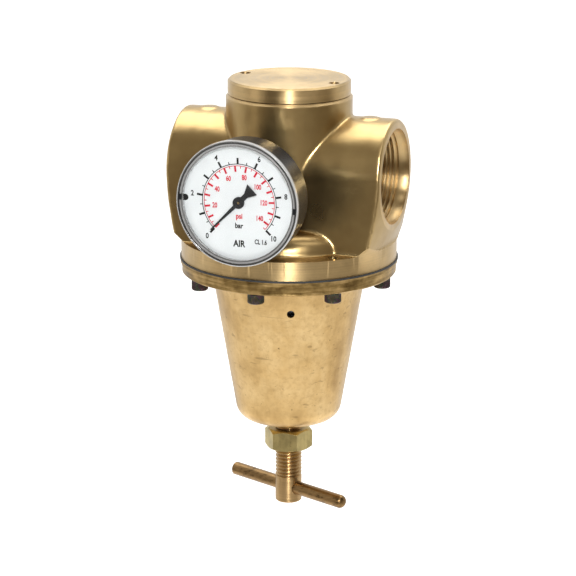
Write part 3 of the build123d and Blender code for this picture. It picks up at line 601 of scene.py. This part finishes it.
# Materials by slot
MATERIALS = {
    "cast_brass": cast_brass(),
    "turned_brass": turned_brass(),
    "nut_brass": nut_brass(),
    "bronze": drawn_bronze("bronze", (0.27, 0.165, 0.07), -BAR_TURN),
    "zinc_steel": plated_steel("zinc_steel", ZINC),
    "dark_zinc": plated_steel("dark_zinc", RAINBOW, 0.32),
    "spring_steel": plated_steel("spring_steel", OILED, 0.35),
    "spring_bronze": drawn_bronze("spring_bronze", (0.60, 0.36, 0.15)),
    "black_rubber": moulded("black_rubber", (0.02, 0.02, 0.02), 0.6),
    "white_seal": moulded("white_seal", (0.75, 0.75, 0.72), 0.5),
    "black_plastic": moulded("black_plastic", (0.005, 0.006, 0.0075), 0.30, 2400, 0.12, 0.28),
    "clear_plastic": clear_pane(),
    "white_dial": dial_paint(),
    "black_paint": ink("black_paint", (0.02, 0.021, 0.023)),
}

# Materials that only some pieces of a slot wear
TURNED_ON_PORTS = turned_brass("port_face_brass", axis="X")
BONNET_BRASS = bonnet_brass()
CAP_FACE_BRASS = turned_brass("faced_brass", (0.60, 0.455, 0.255), rough=0.42, streak=0.45)
FLANGE_EDGE = flange_edge_brass()
SPINDLE_BRONZE = turned_brass("spindle_bronze", (0.50, 0.335, 0.16), rough=0.36)
WINDOW_RIM = window_rim()
BLACK_INK = ink("black_ink", (0.008, 0.008, 0.009))
RED_INK = ink("red_ink", (0.60, 0.012, 0.035))


def wear(piece, materials, choice):
    """Gives a mesh several materials, and each face the one whose number choice gives for it."""
    mesh = piece.data
    mesh.materials.clear()
    for material in materials:
        mesh.materials.append(material)
    for face in mesh.polygons:
        face.material_index = choice(face)


def finish_piece(piece, body, materials, replaced=(), degrees=32):
    """Gives a finished mesh its body and its materials, and hides the CAD nodes that it stands for.
    A mesh whose faces already have their materials is given none here."""
    if materials:
        piece.data.materials.clear()
        for material in materials:
            piece.data.materials.append(material)
    smooth_by_angle(piece, degrees)
    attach(piece, body)
    if replaced:
        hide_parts(*replaced)
    return piece


# Housing


def port_place(side):
    """Local Z out of the port on the given side, 1 or -1."""
    return PORT_PLACE if side > 0 else Matrix.Rotation(math.pi, 4, "Z") @ PORT_PLACE


def gauge_places():
    """Local Z out of the front gauge port, then out of the plugged one behind."""
    return [Matrix.Rotation(turn, 4, "Z") @ GAUGE_PLACE for turn in (0.0, math.pi)]


def port_boss(side):
    """Arched boss that runs from the valve axis past the port's face, with a tapered end."""
    steps = 48
    arch_radius = (BOSS_HALF_WIDTH**2 + BOSS_TOP**2) / (2 * BOSS_TOP)
    centre = BOSS_TOP - arch_radius
    reach = math.asin(min(1.0, BOSS_HALF_WIDTH / arch_radius))
    if centre > 0:
        reach = math.pi - reach
    section = []
    for step in range(steps + 1):
        angle = -reach + 2 * reach * step / steps
        section.append((arch_radius * math.sin(angle), centre + arch_radius * math.cos(angle)))
    section += [(BOSS_FOOT_HALF_WIDTH, BOSS_FOOT), (-BOSS_FOOT_HALF_WIDTH, BOSS_FOOT)]
    overrun = PORT_HALF + 3 * MM
    bm = bmesh.new()
    near = [bm.verts.new((0, y, z)) for y, z in section]
    far = [bm.verts.new((side * overrun, y, z)) for y, z in section]
    bm.faces.new(near)
    bm.faces.new(reversed(far))
    bridge(bm, near, far)
    bmesh.ops.recalc_face_normals(bm, faces=bm.faces)
    boss = new_piece("boss", bm)
    slope = (BOSS_TAPER_RADIUS - PORT_FACE_RADIUS) / BOSS_TAPER_LENGTH
    tip = PORT_FACE_RADIUS - slope * (overrun - PORT_HALF)
    wide = 60 * MM
    start = PORT_HALF - (wide - PORT_FACE_RADIUS) / slope
    taper = [(0, -MM), (wide, -MM), (wide, start), (tip, overrun), (0, overrun)]
    carve(boss, lathe("taper", taper, port_place(side)), "INTERSECT")
    pad_place = Matrix.Translation((side * PAD_OFFSET, 0, 0))
    pad = drum("pad", PAD_RADIUS, BOSS_TOP - 3 * MM, BOSS_TOP + PAD_HEIGHT, pad_place)
    return joined("boss", [boss, pad])


def cast_height(place, normal):
    """Waviness and dents of the sand casting, deepest on the front of the neck."""
    wave = noise.noise(place * 110) * 0.09 + noise.noise(place * 240) * 0.03
    wrinkle = noise.noise(Vector((place.x * 300, place.y * 300, place.z * 130))) * 0.03
    front = max(0.0, -normal.y) * max(0.0, min(1.0, (place.z - 18 * MM) / (8 * MM)))
    return (wave + wrinkle * 2.5 * front) * MM


def cast_blank():
    """Neck, bosses, dome and gauge bosses run together as a casting's surfaces do."""
    neck = drum("neck", NECK_RADIUS, -30 * MM, NECK_TOP + 3 * MM, steps=160)
    foot = FLANGE_TOP - MM
    edge = (DOME_RADIUS, DOME_TOP, 10 * MM)
    dome = lathe("dome", [(0, DOME_TOP), edge, (DOME_RADIUS, foot), (0, foot)])
    flange = drum("flange", FLANGE_RADIUS + 3 * MM, FLANGE_BOTTOM - 3 * MM, FLANGE_TOP, steps=192)
    parts = [neck, dome, flange, port_boss(1), port_boss(-1)]
    for place in gauge_places():
        parts.append(drum("gauge_boss", GAUGE_BOSS_RADIUS, 20 * MM, GAUGE_BOSS_FACE + 2 * MM, place))
    blank = joined("housing_casting", parts)
    remesh = blank.modifiers.new("remesh", "REMESH")
    remesh.mode = "VOXEL"
    remesh.voxel_size = CAST_VOXEL
    relax = blank.modifiers.new("relax", "SMOOTH")
    relax.factor = 0.5
    relax.iterations = 22
    settle(blank)
    roughen(blank, cast_height)
    return blank


def machining_limit():
    """What is left by turning the flange, the undercut above it and the neck's top."""
    undercut = 20 * MM
    wide = FLANGE_RADIUS + undercut
    shoulder = 36 * MM
    edge = NECK_RADIUS - NECK_CHAMFER
    corners = [(0, FLANGE_BOTTOM), (FLANGE_RADIUS, FLANGE_BOTTOM), (FLANGE_RADIUS, FLANGE_TOP)]
    corners += [(wide, FLANGE_TOP + undercut), (wide, shoulder)]
    corners += [(edge + NECK_TOP - shoulder, shoulder), (edge, NECK_TOP), (0, NECK_TOP)]
    return lathe("limit", corners, steps=288)


def hollows():
    """The housing's inside, taken from the CAD node: a plug that covers it, less the node."""
    low, high = FLANGE_BOTTOM - MM, NECK_TOP + MM
    corners = [(0, low), (DIAPHRAGM_ROOM_RADIUS, low)]
    corners += [(DIAPHRAGM_ROOM_RADIUS, VALVE_ROOM_FLOOR - 2 * MM)]
    corners += [(VALVE_ROOM_RADIUS, VALVE_ROOM_FLOOR), (VALVE_ROOM_RADIUS, high), (0, high)]
    plug = lathe("plug", corners)
    over_port, over_tapping = 25.5 * MM, 8 * MM
    reach = PORT_HALF + MM
    carve(plug, drum("bore", over_port, -reach, reach, PORT_PLACE), "UNION")
    reach = GAUGE_BOSS_FACE + MM
    carve(plug, drum("tapping", over_tapping, -reach, reach, GAUGE_PLACE), "UNION")
    carve(plug, cad_copy("housing"))
    return plug


def finish_at(place):
    """0 on a cast face of the housing, 1 on one turned about Z and 2 on one turned about X."""
    radius = math.hypot(place.x, place.y)
    port_radius = math.hypot(place.y, place.z)
    near = 0.03 * MM
    in_port = abs(place.x) > 29 * MM
    if abs(place.x) > PORT_HALF - near or in_port and port_radius < PORT_THREAD_RADIUS + MM:
        return 2
    on_rim = abs(radius - FLANGE_RADIUS) < near and place.z < FLANGE_TOP + near
    on_undercut = abs(radius - place.z - FLANGE_RADIUS + FLANGE_TOP) < near
    on_neck_end = place.z > NECK_TOP - NECK_CHAMFER - 0.4 * MM
    inside = radius < NECK_RADIUS - MM and not in_port
    underneath = place.z < FLANGE_BOTTOM + near
    return int(on_rim or on_undercut or on_neck_end or inside or underneath)


def housing():
    """Casting, faced and turned, with the CAD node's inside and its screw holes."""
    body = cast_blank()
    carve(body, machining_limit(), "INTERSECT")
    beyond_flange = 90 * MM
    carve(body, drum("slab", beyond_flange, -PORT_HALF, PORT_HALF, PORT_PLACE), "INTERSECT")
    facing_radius = 14 * MM
    low, high = GAUGE_BOSS_FACE, GAUGE_BOSS_FACE + 5 * MM
    for place in gauge_places():
        carve(body, drum("facing", facing_radius, low, high, place))
    carve(body, hollows())
    for centre in around(SCREW_COUNT, SCREW_CIRCLE):
        place = Matrix.Translation(centre)
        carve(body, drum("hole", SCREW_RADIUS, FLANGE_BOTTOM - MM, FLANGE_TOP + MM, place, 48))
    finishes = (MATERIALS["cast_brass"], MATERIALS["turned_brass"], TURNED_ON_PORTS)
    wear(body, finishes, lambda face: finish_at(face.center))
    finish_piece(body, "housing", (), ("housing",), 26)


def port_threads():
    """Pipe threads cut in both ports."""
    crest, root = PORT_THREAD_CREST, PORT_THREAD_RADIUS
    wall = root + 0.15 * MM
    low, high = PORT_THREAD_START, PORT_HALF - PORT_MOUTH_DEPTH - 0.2 * MM
    lead = 1.2 * MM
    for side, name in ((1, "outlet_thread"), (-1, "inlet_thread")):
        piece = thread(name, crest, root, low, high, PORT_PITCH, wall, port_place(side), lead)
        finish_piece(piece, "housing", (TURNED_ON_PORTS,))


# Bonnet, screws, spindle


def bonnet_height(place, normal):
    """Cast waviness outside, with lines round the flange's rim."""
    radius = math.hypot(place.x, place.y)
    faces_in = normal.x * place.x + normal.y * place.y < -0.1 * radius
    if faces_in or place.z > BONNET_HIGH.z - 0.3 * MM:
        return 0.0
    rough = noise.noise(place * 300) * 0.05 + noise.noise(place * 90) * 0.09
    rim_start = 54 * MM
    if radius < rim_start:
        return min(rough, 0.12) * MM
    bend = noise.noise(Vector((place.x * 25, place.y * 25, 0))) * 0.4
    rough += 0.07 * math.sin((place.z / MM + bend) * 5.2) - 0.06
    return min(rough, 0.06) * MM


def bonnet_outline():
    """Half section of the bonnet: down its outside from the flange to the foot, then up inside."""
    bottom, top = BONNET_LOW.z, BONNET_HIGH.z
    spigot = BONNET_HIGH.x
    rim = spigot - 0.7 * MM
    step = top - 1.95 * MM
    foot = 9.84 * MM
    bore = 7.0 * MM
    guide = 10.5 * MM
    floor = bottom + 6.5 * MM
    guide_top = floor + 6.5 * MM
    mouth = 36 * MM
    corners = [(mouth, top), (spigot, top), (spigot, step), (rim, step)]
    corners += [(rim, BONNET_FLANGE_LOW, 1.2 * MM), (40 * MM, BONNET_FLANGE_LOW, 1.8 * MM)]
    corners += [(26.57 * MM, bottom + 4.65 * MM, 9 * MM)]
    corners += [(foot, bottom + 1.1 * MM), (foot, bottom + 0.4 * MM), (foot - 0.4 * MM, bottom)]
    corners += [(bore, bottom), (bore, guide_top), (guide, guide_top), (guide, floor)]
    corners += [(23.3 * MM, floor, 5 * MM), (mouth, -56 * MM)]
    return corners


def bonnet():
    """Spring bonnet, with its clearance holes, spot faces and vent."""
    body = lathe("bonnet_casting", bonnet_outline(), steps=288, longest=1.1 * MM)
    roughen(body, bonnet_height)
    low, high = BONNET_FLANGE_LOW, BONNET_HIGH.z
    for centre in around(SCREW_COUNT, SCREW_CIRCLE):
        place = Matrix.Translation(centre)
        carve(body, drum("hole", SCREW_CLEARANCE_RADIUS, low - MM, high + MM, place, 48))
        carve(body, drum("spot", SPOT_FACE_RADIUS, low - 8 * MM, low + 0.02 * MM, place, 64))
    vent_place = Matrix.Translation((0, 0, VENT_HEIGHT)) @ Matrix.Rotation(VENT_TURN, 4, "Z")
    vent_place = vent_place @ Matrix.Rotation(math.pi / 2, 4, "X")
    carve(body, drum("vent", VENT_RADIUS, 20 * MM, 50 * MM, vent_place, 48))
    rim_start = 54.6 * MM
    wear(body, (BONNET_BRASS, FLANGE_EDGE), lambda face: int(face.center.xy.length > rim_start))
    finish_piece(body, "housing", (), ("bonnet",), 30)


def flange_screw(index, centre):
    """Socket head screw with a knurled head."""
    low, high = SCREWS_LOW.z, SCREWS_HIGH.z
    head_high = low + SCREW_HEAD_HEIGHT
    radius = SCREW_HEAD_RADIUS
    socket = 2.3 * MM
    socket_floor = low + 2.5 * MM
    lead = 0.3 * MM
    chamfer = 0.5 * MM
    tip = 0.6 * MM
    corners = [(0, socket_floor), (socket, socket_floor), (socket, low + lead), (socket + lead, low)]
    corners += [(radius - chamfer, low, 0.25 * MM), (radius, low + chamfer), (radius, head_high)]
    corners += [(SCREW_RADIUS, head_high), (SCREW_RADIUS, high - tip)]
    corners += [(SCREW_RADIUS - tip, high), (0, high)]
    flutes = 36
    flute_depth = 0.2 * MM
    piece = lathe(f"flange_screw_{index}", corners, steps=4 * flutes, longest=MM)
    for vertex in piece.data.vertices:
        place = vertex.co
        out = math.hypot(place.x, place.y)
        angle = math.atan2(place.y, place.x)
        if out > radius - 0.1 * MM and low + 0.6 * MM < place.z < head_high - 0.3 * MM:
            scale = 1 - flute_depth * (0.5 + 0.5 * math.cos(flutes * angle)) / out
        elif 0 < out < socket + 0.1 * MM and place.z < socket_floor + 0.1 * MM:
            scale = math.cos(SIXTH / 2) / math.cos(angle % SIXTH - SIXTH / 2)
        else:
            continue
        vertex.co = Vector((place.x * scale, place.y * scale, place.z))
    piece.data.transform(Matrix.Translation(centre))
    return finish_piece(piece, "housing", (MATERIALS["dark_zinc"],))


def flange_screws():
    """The ring of screws; the CAD node that holds them all is hidden."""
    for index, centre in enumerate(around(SCREW_COUNT, SCREW_CIRCLE)):
        screw = flange_screw(index + 1, centre)
    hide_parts("flange_screws")


def spindle():
    """Threaded spindle with a plain end, drilled for the bar."""
    crest, root = SPINDLE_HIGH.x, SPINDLE_ROOT
    low, high = SPINDLE_LOW.z, SPINDLE_HIGH.z
    start = SPINDLE_THREAD_END
    name = "adjusting_spindle"
    screw = thread(name, crest, root, start, high, SPINDLE_PITCH, 0.0, chamfer=1.0 * MM)
    neck = start + 1.1 * MM
    corners = [(0, low), (crest - 0.6 * MM, low, 0.2 * MM), (crest, low + 0.6 * MM, 0.2 * MM)]
    corners += [(crest, start + 0.4 * MM, 0.3 * MM), (root, neck), (0, neck)]
    carve(screw, lathe("shank", corners, steps=144), "UNION")
    turn = Matrix.Rotation(BAR_TURN, 4, "Z")
    place = Matrix.Translation((0, 0, BAR_HEIGHT)) @ turn @ PORT_PLACE
    carve(screw, drum("bar_hole", BAR_HOLE_RADIUS, -10 * MM, 10 * MM, place, 64))
    finish_piece(screw, "spindle", (SPINDLE_BRONZE,), ("spindle",))


# Gauge face


FULL_SWEEP = 270.0
ZERO_ANGLE = 227.0
BAR_RANGE = 10
PSI_PER_BAR = 14.5038
PSI_END = 145
PRINT_THICKNESS = 0.04 * MM
FIGURE_HEIGHT = 2.6 * MM
FONT_CAPITAL = 0.70  # height of a capital letter of Blender's font, for a size of 1


def scale_direction(bars):
    """Direction from the pointer's axis to a pressure on the scale."""
    angle = math.radians(ZERO_ANGLE - FULL_SWEEP * bars / BAR_RANGE)
    return Vector((math.cos(angle), math.sin(angle), 0))


def add_plate(bm, points):
    """Thin printed shape, from its outline on the dial."""
    low = [bm.verts.new((p.x, p.y, DIAL_FACE)) for p in points]
    high = [bm.verts.new((p.x, p.y, DIAL_FACE + PRINT_THICKNESS)) for p in points]
    bm.faces.new(reversed(low))
    bm.faces.new(high)
    bridge(bm, high, low)


def add_tick(bm, bars, inner, outer, width):
    """Straight mark on the scale, between two radii."""
    out = scale_direction(bars)
    side = Vector((-out.y, out.x, 0)) * width / 2
    add_plate(bm, [out * inner - side, out * outer - side, out * outer + side, out * inner + side])


def add_arc(bm, inner, outer, end):
    """Line along the scale from zero to the end pressure, in bar."""
    steps = 120
    for step in range(steps):
        start = scale_direction(end * step / steps)
        stop = scale_direction(end * (step + 1) / steps)
        add_plate(bm, [start * inner, stop * inner, stop * outer, start * outer])


def add_text(bm, words, centre, height, narrow=0.85, bold=0.12 * MM):
    """Printed figures or letters, centred at a point of the dial."""
    curve = bpy.data.curves.new("print", "FONT")
    curve.body = words
    curve.size = height / FONT_CAPITAL
    curve.offset = bold
    curve.align_x = "CENTER"
    curve.extrude = PRINT_THICKNESS / 2
    curve.resolution_u = 3
    piece = bpy.data.objects.new("print", curve)
    bpy.context.scene.collection.objects.link(piece)
    bpy.context.view_layer.update()
    graph = bpy.context.evaluated_depsgraph_get()
    mesh = bpy.data.meshes.new_from_object(piece.evaluated_get(graph))
    middle = sum((Vector(c) for c in piece.bound_box), Vector()) / 8
    to_middle = Matrix.Translation((-middle.x, -middle.y, 0))
    mesh.transform(Matrix.Diagonal((narrow, 1, 1, 1)) @ to_middle)
    mesh.transform(Matrix.Translation((centre.x, centre.y, DIAL_FACE + PRINT_THICKNESS / 2)))
    bm.from_mesh(mesh)
    bpy.data.objects.remove(piece)


def bar_scale(bm):
    """Ticks at each half bar, longer ones at each whole bar, and figures at every second one."""
    add_arc(bm, 18.95 * MM, 19.35 * MM, BAR_RANGE)
    for half in range(2 * BAR_RANGE + 1):
        outer, width = (20.5 * MM, 0.45 * MM) if half % 2 else (22.2 * MM, 1.05 * MM)
        add_tick(bm, half / 2, 19.0 * MM, outer, width)
    for bars in range(0, BAR_RANGE + 1, 2):
        add_text(bm, str(bars), scale_direction(bars) * 24.6 * MM, FIGURE_HEIGHT)


def psi_scale(bm):
    """Ticks at every 5 psi, longer ones at every 10, and figures at every 20."""
    add_arc(bm, 18.1 * MM, 18.45 * MM, PSI_END / PSI_PER_BAR)
    for psi in range(0, PSI_END + 1, 5):
        inner, width = (17.0 * MM, 0.4 * MM) if psi % 10 else (15.3 * MM, 1.0 * MM)
        add_tick(bm, psi / PSI_PER_BAR, inner, 18.3 * MM, width)
        if psi and psi % 20 == 0:
            add_text(bm, str(psi), scale_direction(psi / PSI_PER_BAR) * 12.9 * MM, 2.5 * MM, 0.72)


def dial_print():
    """Bar scale in black outside, psi scale in red inside, and the words below them."""
    black, red = bmesh.new(), bmesh.new()
    bar_scale(black)
    psi_scale(red)
    add_text(red, "psi", Vector((0, -7.3 * MM, 0)), FIGURE_HEIGHT)
    add_text(black, "bar", Vector((0, -11.6 * MM, 0)), FIGURE_HEIGHT)
    add_text(black, "CL 1.6", Vector((11.2 * MM, -19.0 * MM, 0)), 2.3 * MM, 0.72)
    add_text(black, "AIR", Vector((0, -20.6 * MM, 0)), 3.2 * MM, bold=0.16 * MM)
    prints = (("dial_scale_bar", black, BLACK_INK), ("dial_scale_psi", red, RED_INK))
    for name, bm, material in prints:
        bmesh.ops.transform(bm, matrix=GAUGE_PLACE, verts=bm.verts)
        finish_piece(new_piece(name, bm), "housing", (material,))


def gauge_window():
    """Clear pane, and the thick rim that holds it in the case."""
    front = WINDOW_FRONT
    case_front = front - 2.0 * MM
    pane = case_front + 0.1 * MM
    pane_front = pane + 1.2 * MM
    pane_edge = 28.35 * MM
    corners = [(0, pane), (28.55 * MM, pane), (pane_edge, pane_front), (0, pane_front + 0.1 * MM)]
    glass = lathe("gauge_pane", corners, GAUGE_PLACE)
    finish_piece(glass, "housing", (MATERIALS["clear_plastic"],))
    skirt = 29.5 * MM
    skirt_back = case_front - 1.3 * MM
    outer = WINDOW_HIGH.x
    corners = [(28.6 * MM, skirt_back), (skirt, skirt_back), (skirt, case_front), (outer, case_front)]
    corners += [(outer, front - 0.5 * MM, 0.3 * MM), (outer - 0.7 * MM, front, 0.3 * MM)]
    corners += [(30.55 * MM, front - 0.15 * MM), (30.4 * MM, front - 0.55 * MM)]
    corners += [(30.1 * MM, front - 0.5 * MM), (29.7 * MM, front - 0.1 * MM, 0.2 * MM)]
    corners += [(29.1 * MM, front - 0.2 * MM), (28.9 * MM, front - 0.6 * MM), (pane_edge, pane_front)]
    rim = lathe("gauge_window_rim", corners, GAUGE_PLACE, 256)
    finish_piece(rim, "housing", (WINDOW_RIM,), ("gauge_window",))


def window_marks():
    """Snap lugs of the window at three and nine o'clock, and the dial's locating notch."""
    bm = bmesh.new()
    lug_size = Matrix.Diagonal((1.7 * MM, 3.2 * MM, 0.5 * MM, 1))
    lug_place = Matrix.Translation((29.6 * MM, 0, WINDOW_FRONT - 0.27 * MM))
    for angle in (-3.0, 177.0):
        turn = Matrix.Rotation(math.radians(angle), 4, "Z")
        lug = bmesh.ops.create_cube(bm, size=1.0)["verts"]
        bmesh.ops.transform(bm, matrix=turn @ lug_place @ lug_size, verts=lug)
    bmesh.ops.bevel(bm, geom=bm.edges, offset=0.15 * MM, segments=2, affect="EDGES")
    bmesh.ops.transform(bm, matrix=GAUGE_PLACE, verts=bm.verts)
    lugs = new_piece("window_lugs", bm)
    finish_piece(lugs, "housing", (MATERIALS["black_plastic"],))
    place = GAUGE_PLACE @ Matrix.Translation((-28.2 * MM, 0.6 * MM, 0))
    low, high = DIAL_FACE - 0.2 * MM, DIAL_FACE + PRINT_THICKNESS
    notch = drum("dial_notch", 1.65 * MM, low, high, place, 48)
    finish_piece(notch, "housing", (BLACK_INK,))


# Stage


# The photograph's viewpoint, and the level directions towards its camera and across its view
VIEW_AZIMUTH = math.radians(19.156)
VIEW_PITCH = math.radians(15.061)
VIEW_ROLL = math.radians(0.118)
CAMERA_PLACE = Vector((0.4253, -1.2258, 0.2855))
CAMERA_LENS = 161.37
TOWARD_CAMERA = Vector((math.sin(VIEW_AZIMUTH), -math.cos(VIEW_AZIMUTH), 0))
ACROSS = Vector((math.cos(VIEW_AZIMUTH), math.sin(VIEW_AZIMUTH), 0))

LIGHT_CENTRE = Vector((0, 0, -0.03))
FLOOR_RADIUS = 7.0
FLOOR_DROP = 0.25


def place_in_scene(name, data, place, side, top, back):
    """Puts a camera or light in the scene, looking away from its back."""
    piece = bpy.data.objects.new(name, data)
    bpy.context.scene.collection.objects.link(piece)
    turn = Matrix((side, top, back)).transposed().to_4x4()
    piece.matrix_world = Matrix.Translation(place) @ turn
    return piece


def camera():
    """The photograph's own viewpoint."""
    forward = -TOWARD_CAMERA * math.cos(VIEW_PITCH) - Vector((0, 0, math.sin(VIEW_PITCH)))
    up = ACROSS.cross(forward)
    right = ACROSS * math.cos(VIEW_ROLL) + up * math.sin(VIEW_ROLL)
    up = up * math.cos(VIEW_ROLL) - ACROSS * math.sin(VIEW_ROLL)
    data = bpy.data.cameras.new("camera")
    data.lens = CAMERA_LENS
    data.sensor_width = 36.0
    data.clip_start = 0.05
    data.clip_end = 50.0
    piece = place_in_scene("camera", data, CAMERA_PLACE, right, up, -forward)
    bpy.context.scene.camera = piece


def softbox(name, direction, distance, width, height, radiance, tint=(1, 1, 1)):
    """Rectangular light that faces the object, given by how bright its face is."""
    data = bpy.data.lights.new(name, "AREA")
    data.shape = "RECTANGLE"
    data.size = width
    data.size_y = height
    data.energy = radiance * math.pi * width * height
    data.color = tint
    back = direction.normalized()
    side = ACROSS if abs(back.dot(ACROSS)) < 0.7 else TOWARD_CAMERA
    top = back.cross(side).normalized()
    side = top.cross(back)
    piece = place_in_scene(name, data, back * distance + LIGHT_CENTRE, side, top, back)
    piece.visible_camera = False
    return piece


def in_view_plane(elevation):
    """Direction in the upright plane through the camera: 0 is towards it, 90 is overhead."""
    angle = math.radians(elevation)
    return TOWARD_CAMERA * math.cos(angle) + Vector((0, 0, math.sin(angle)))


def room():
    """World: pale behind the object, dim and warm behind the camera, with a bright table below.
    The camera itself sees plain white."""
    world = bpy.data.worlds.new("studio")
    bpy.context.scene.world = world
    world.use_nodes = True
    world.node_tree.nodes.clear()
    sky = Nodes(world.node_tree)
    direction = sky.add("TexCoord").outputs["Generated"]
    facing = sky.add("VectorMath", {0: direction, 1: TOWARD_CAMERA}, operation="DOT_PRODUCT")
    toward = sky.span(facing.outputs["Value"], 0.0, 1.0, -1.0, 1.0)
    stops = [(0.0, grey(1.0)), (0.42, (0.85, 0.83, 0.80))]
    stops += [(0.62, (0.27, 0.235, 0.185)), (1.0, (0.24, 0.21, 0.17))]
    walls = sky.ramp(toward, stops, "EASE")
    height = sky.add("SeparateXYZ", {"Vector": direction}).outputs["Z"]
    low = sky.span(height, 0.0, 1.0, -0.34, -0.56, "SMOOTHSTEP")
    lit = sky.add("Background", {"Color": sky.mix(low, walls, rgba((1.5, 1.46, 1.40)))})
    plain = sky.add("Background", {"Color": rgba(grey(1.0))})
    seen = sky.add("LightPath").outputs["Is Camera Ray"]
    inputs = {0: seen, 1: lit.outputs["Background"], 2: plain.outputs["Background"]}
    sky.add("OutputWorld", {"Surface": sky.add("MixShader", inputs).outputs["Shader"]})


def lights():
    """Soft boxes: one overhead, a tall bright strip in front and three weak fills."""
    softbox("overhead", in_view_plane(111), 1.2, 1.5, 1.0, 3.0)
    softbox("strip", in_view_plane(24), 1.7, 0.11, 0.8, 95.0)
    softbox("left_fill", in_view_plane(20) - ACROSS * 2.2, 1.6, 0.5, 0.9, 0.9, (1.0, 0.96, 0.9))
    softbox("high_front", in_view_plane(60) + ACROSS * 0.25, 1.5, 0.9, 0.35, 1.6)
    front = softbox("front", in_view_plane(25), 1.7, 1.2, 0.8, 0.8)
    front.visible_glossy = False


def floor():
    """Wide pale paper below the object."""
    corners = [(0, -0.01), (FLOOR_RADIUS, -0.01), (FLOOR_RADIUS, 0, 0.004), (0, 0)]
    piece = lathe("floor", corners, Matrix.Translation((0, 0, SPINDLE_LOW.z - FLOOR_DROP)))
    paper = Paint("paper", Roughness=0.9)
    paper.colour(paper.ramp(paper.noise(4, 2, 0.5), [(0.3, grey(0.86)), (0.7, grey(0.90))]))
    paper.surface.inputs["Emission Color"].default_value = rgba(grey(1.0))
    paper.surface.inputs["Emission Strength"].default_value = 0.6
    piece.data.materials.append(paper.material)
    piece.visible_glossy = False


def cad_materials():
    """Gives every CAD node the procedural material of its slot, and the cap its faced top."""
    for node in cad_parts.values():
        slot = node.data.materials[0].name.split(".")[0]
        for index in range(len(node.data.materials)):
            node.data.materials[index] = MATERIALS[slot]
    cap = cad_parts["top_cap"].data
    cap.materials.append(CAP_FACE_BRASS)
    for face in cap.polygons:
        if face.normal.z > 0.9:
            face.material_index = len(cap.materials) - 1


cad_materials()
housing()
port_threads()
bonnet()
flange_screws()
spindle()
dial_print()
gauge_window()
window_marks()
camera()
room()
lights()
floor()
bpy.context.scene.view_settings.view_transform = "Standard"
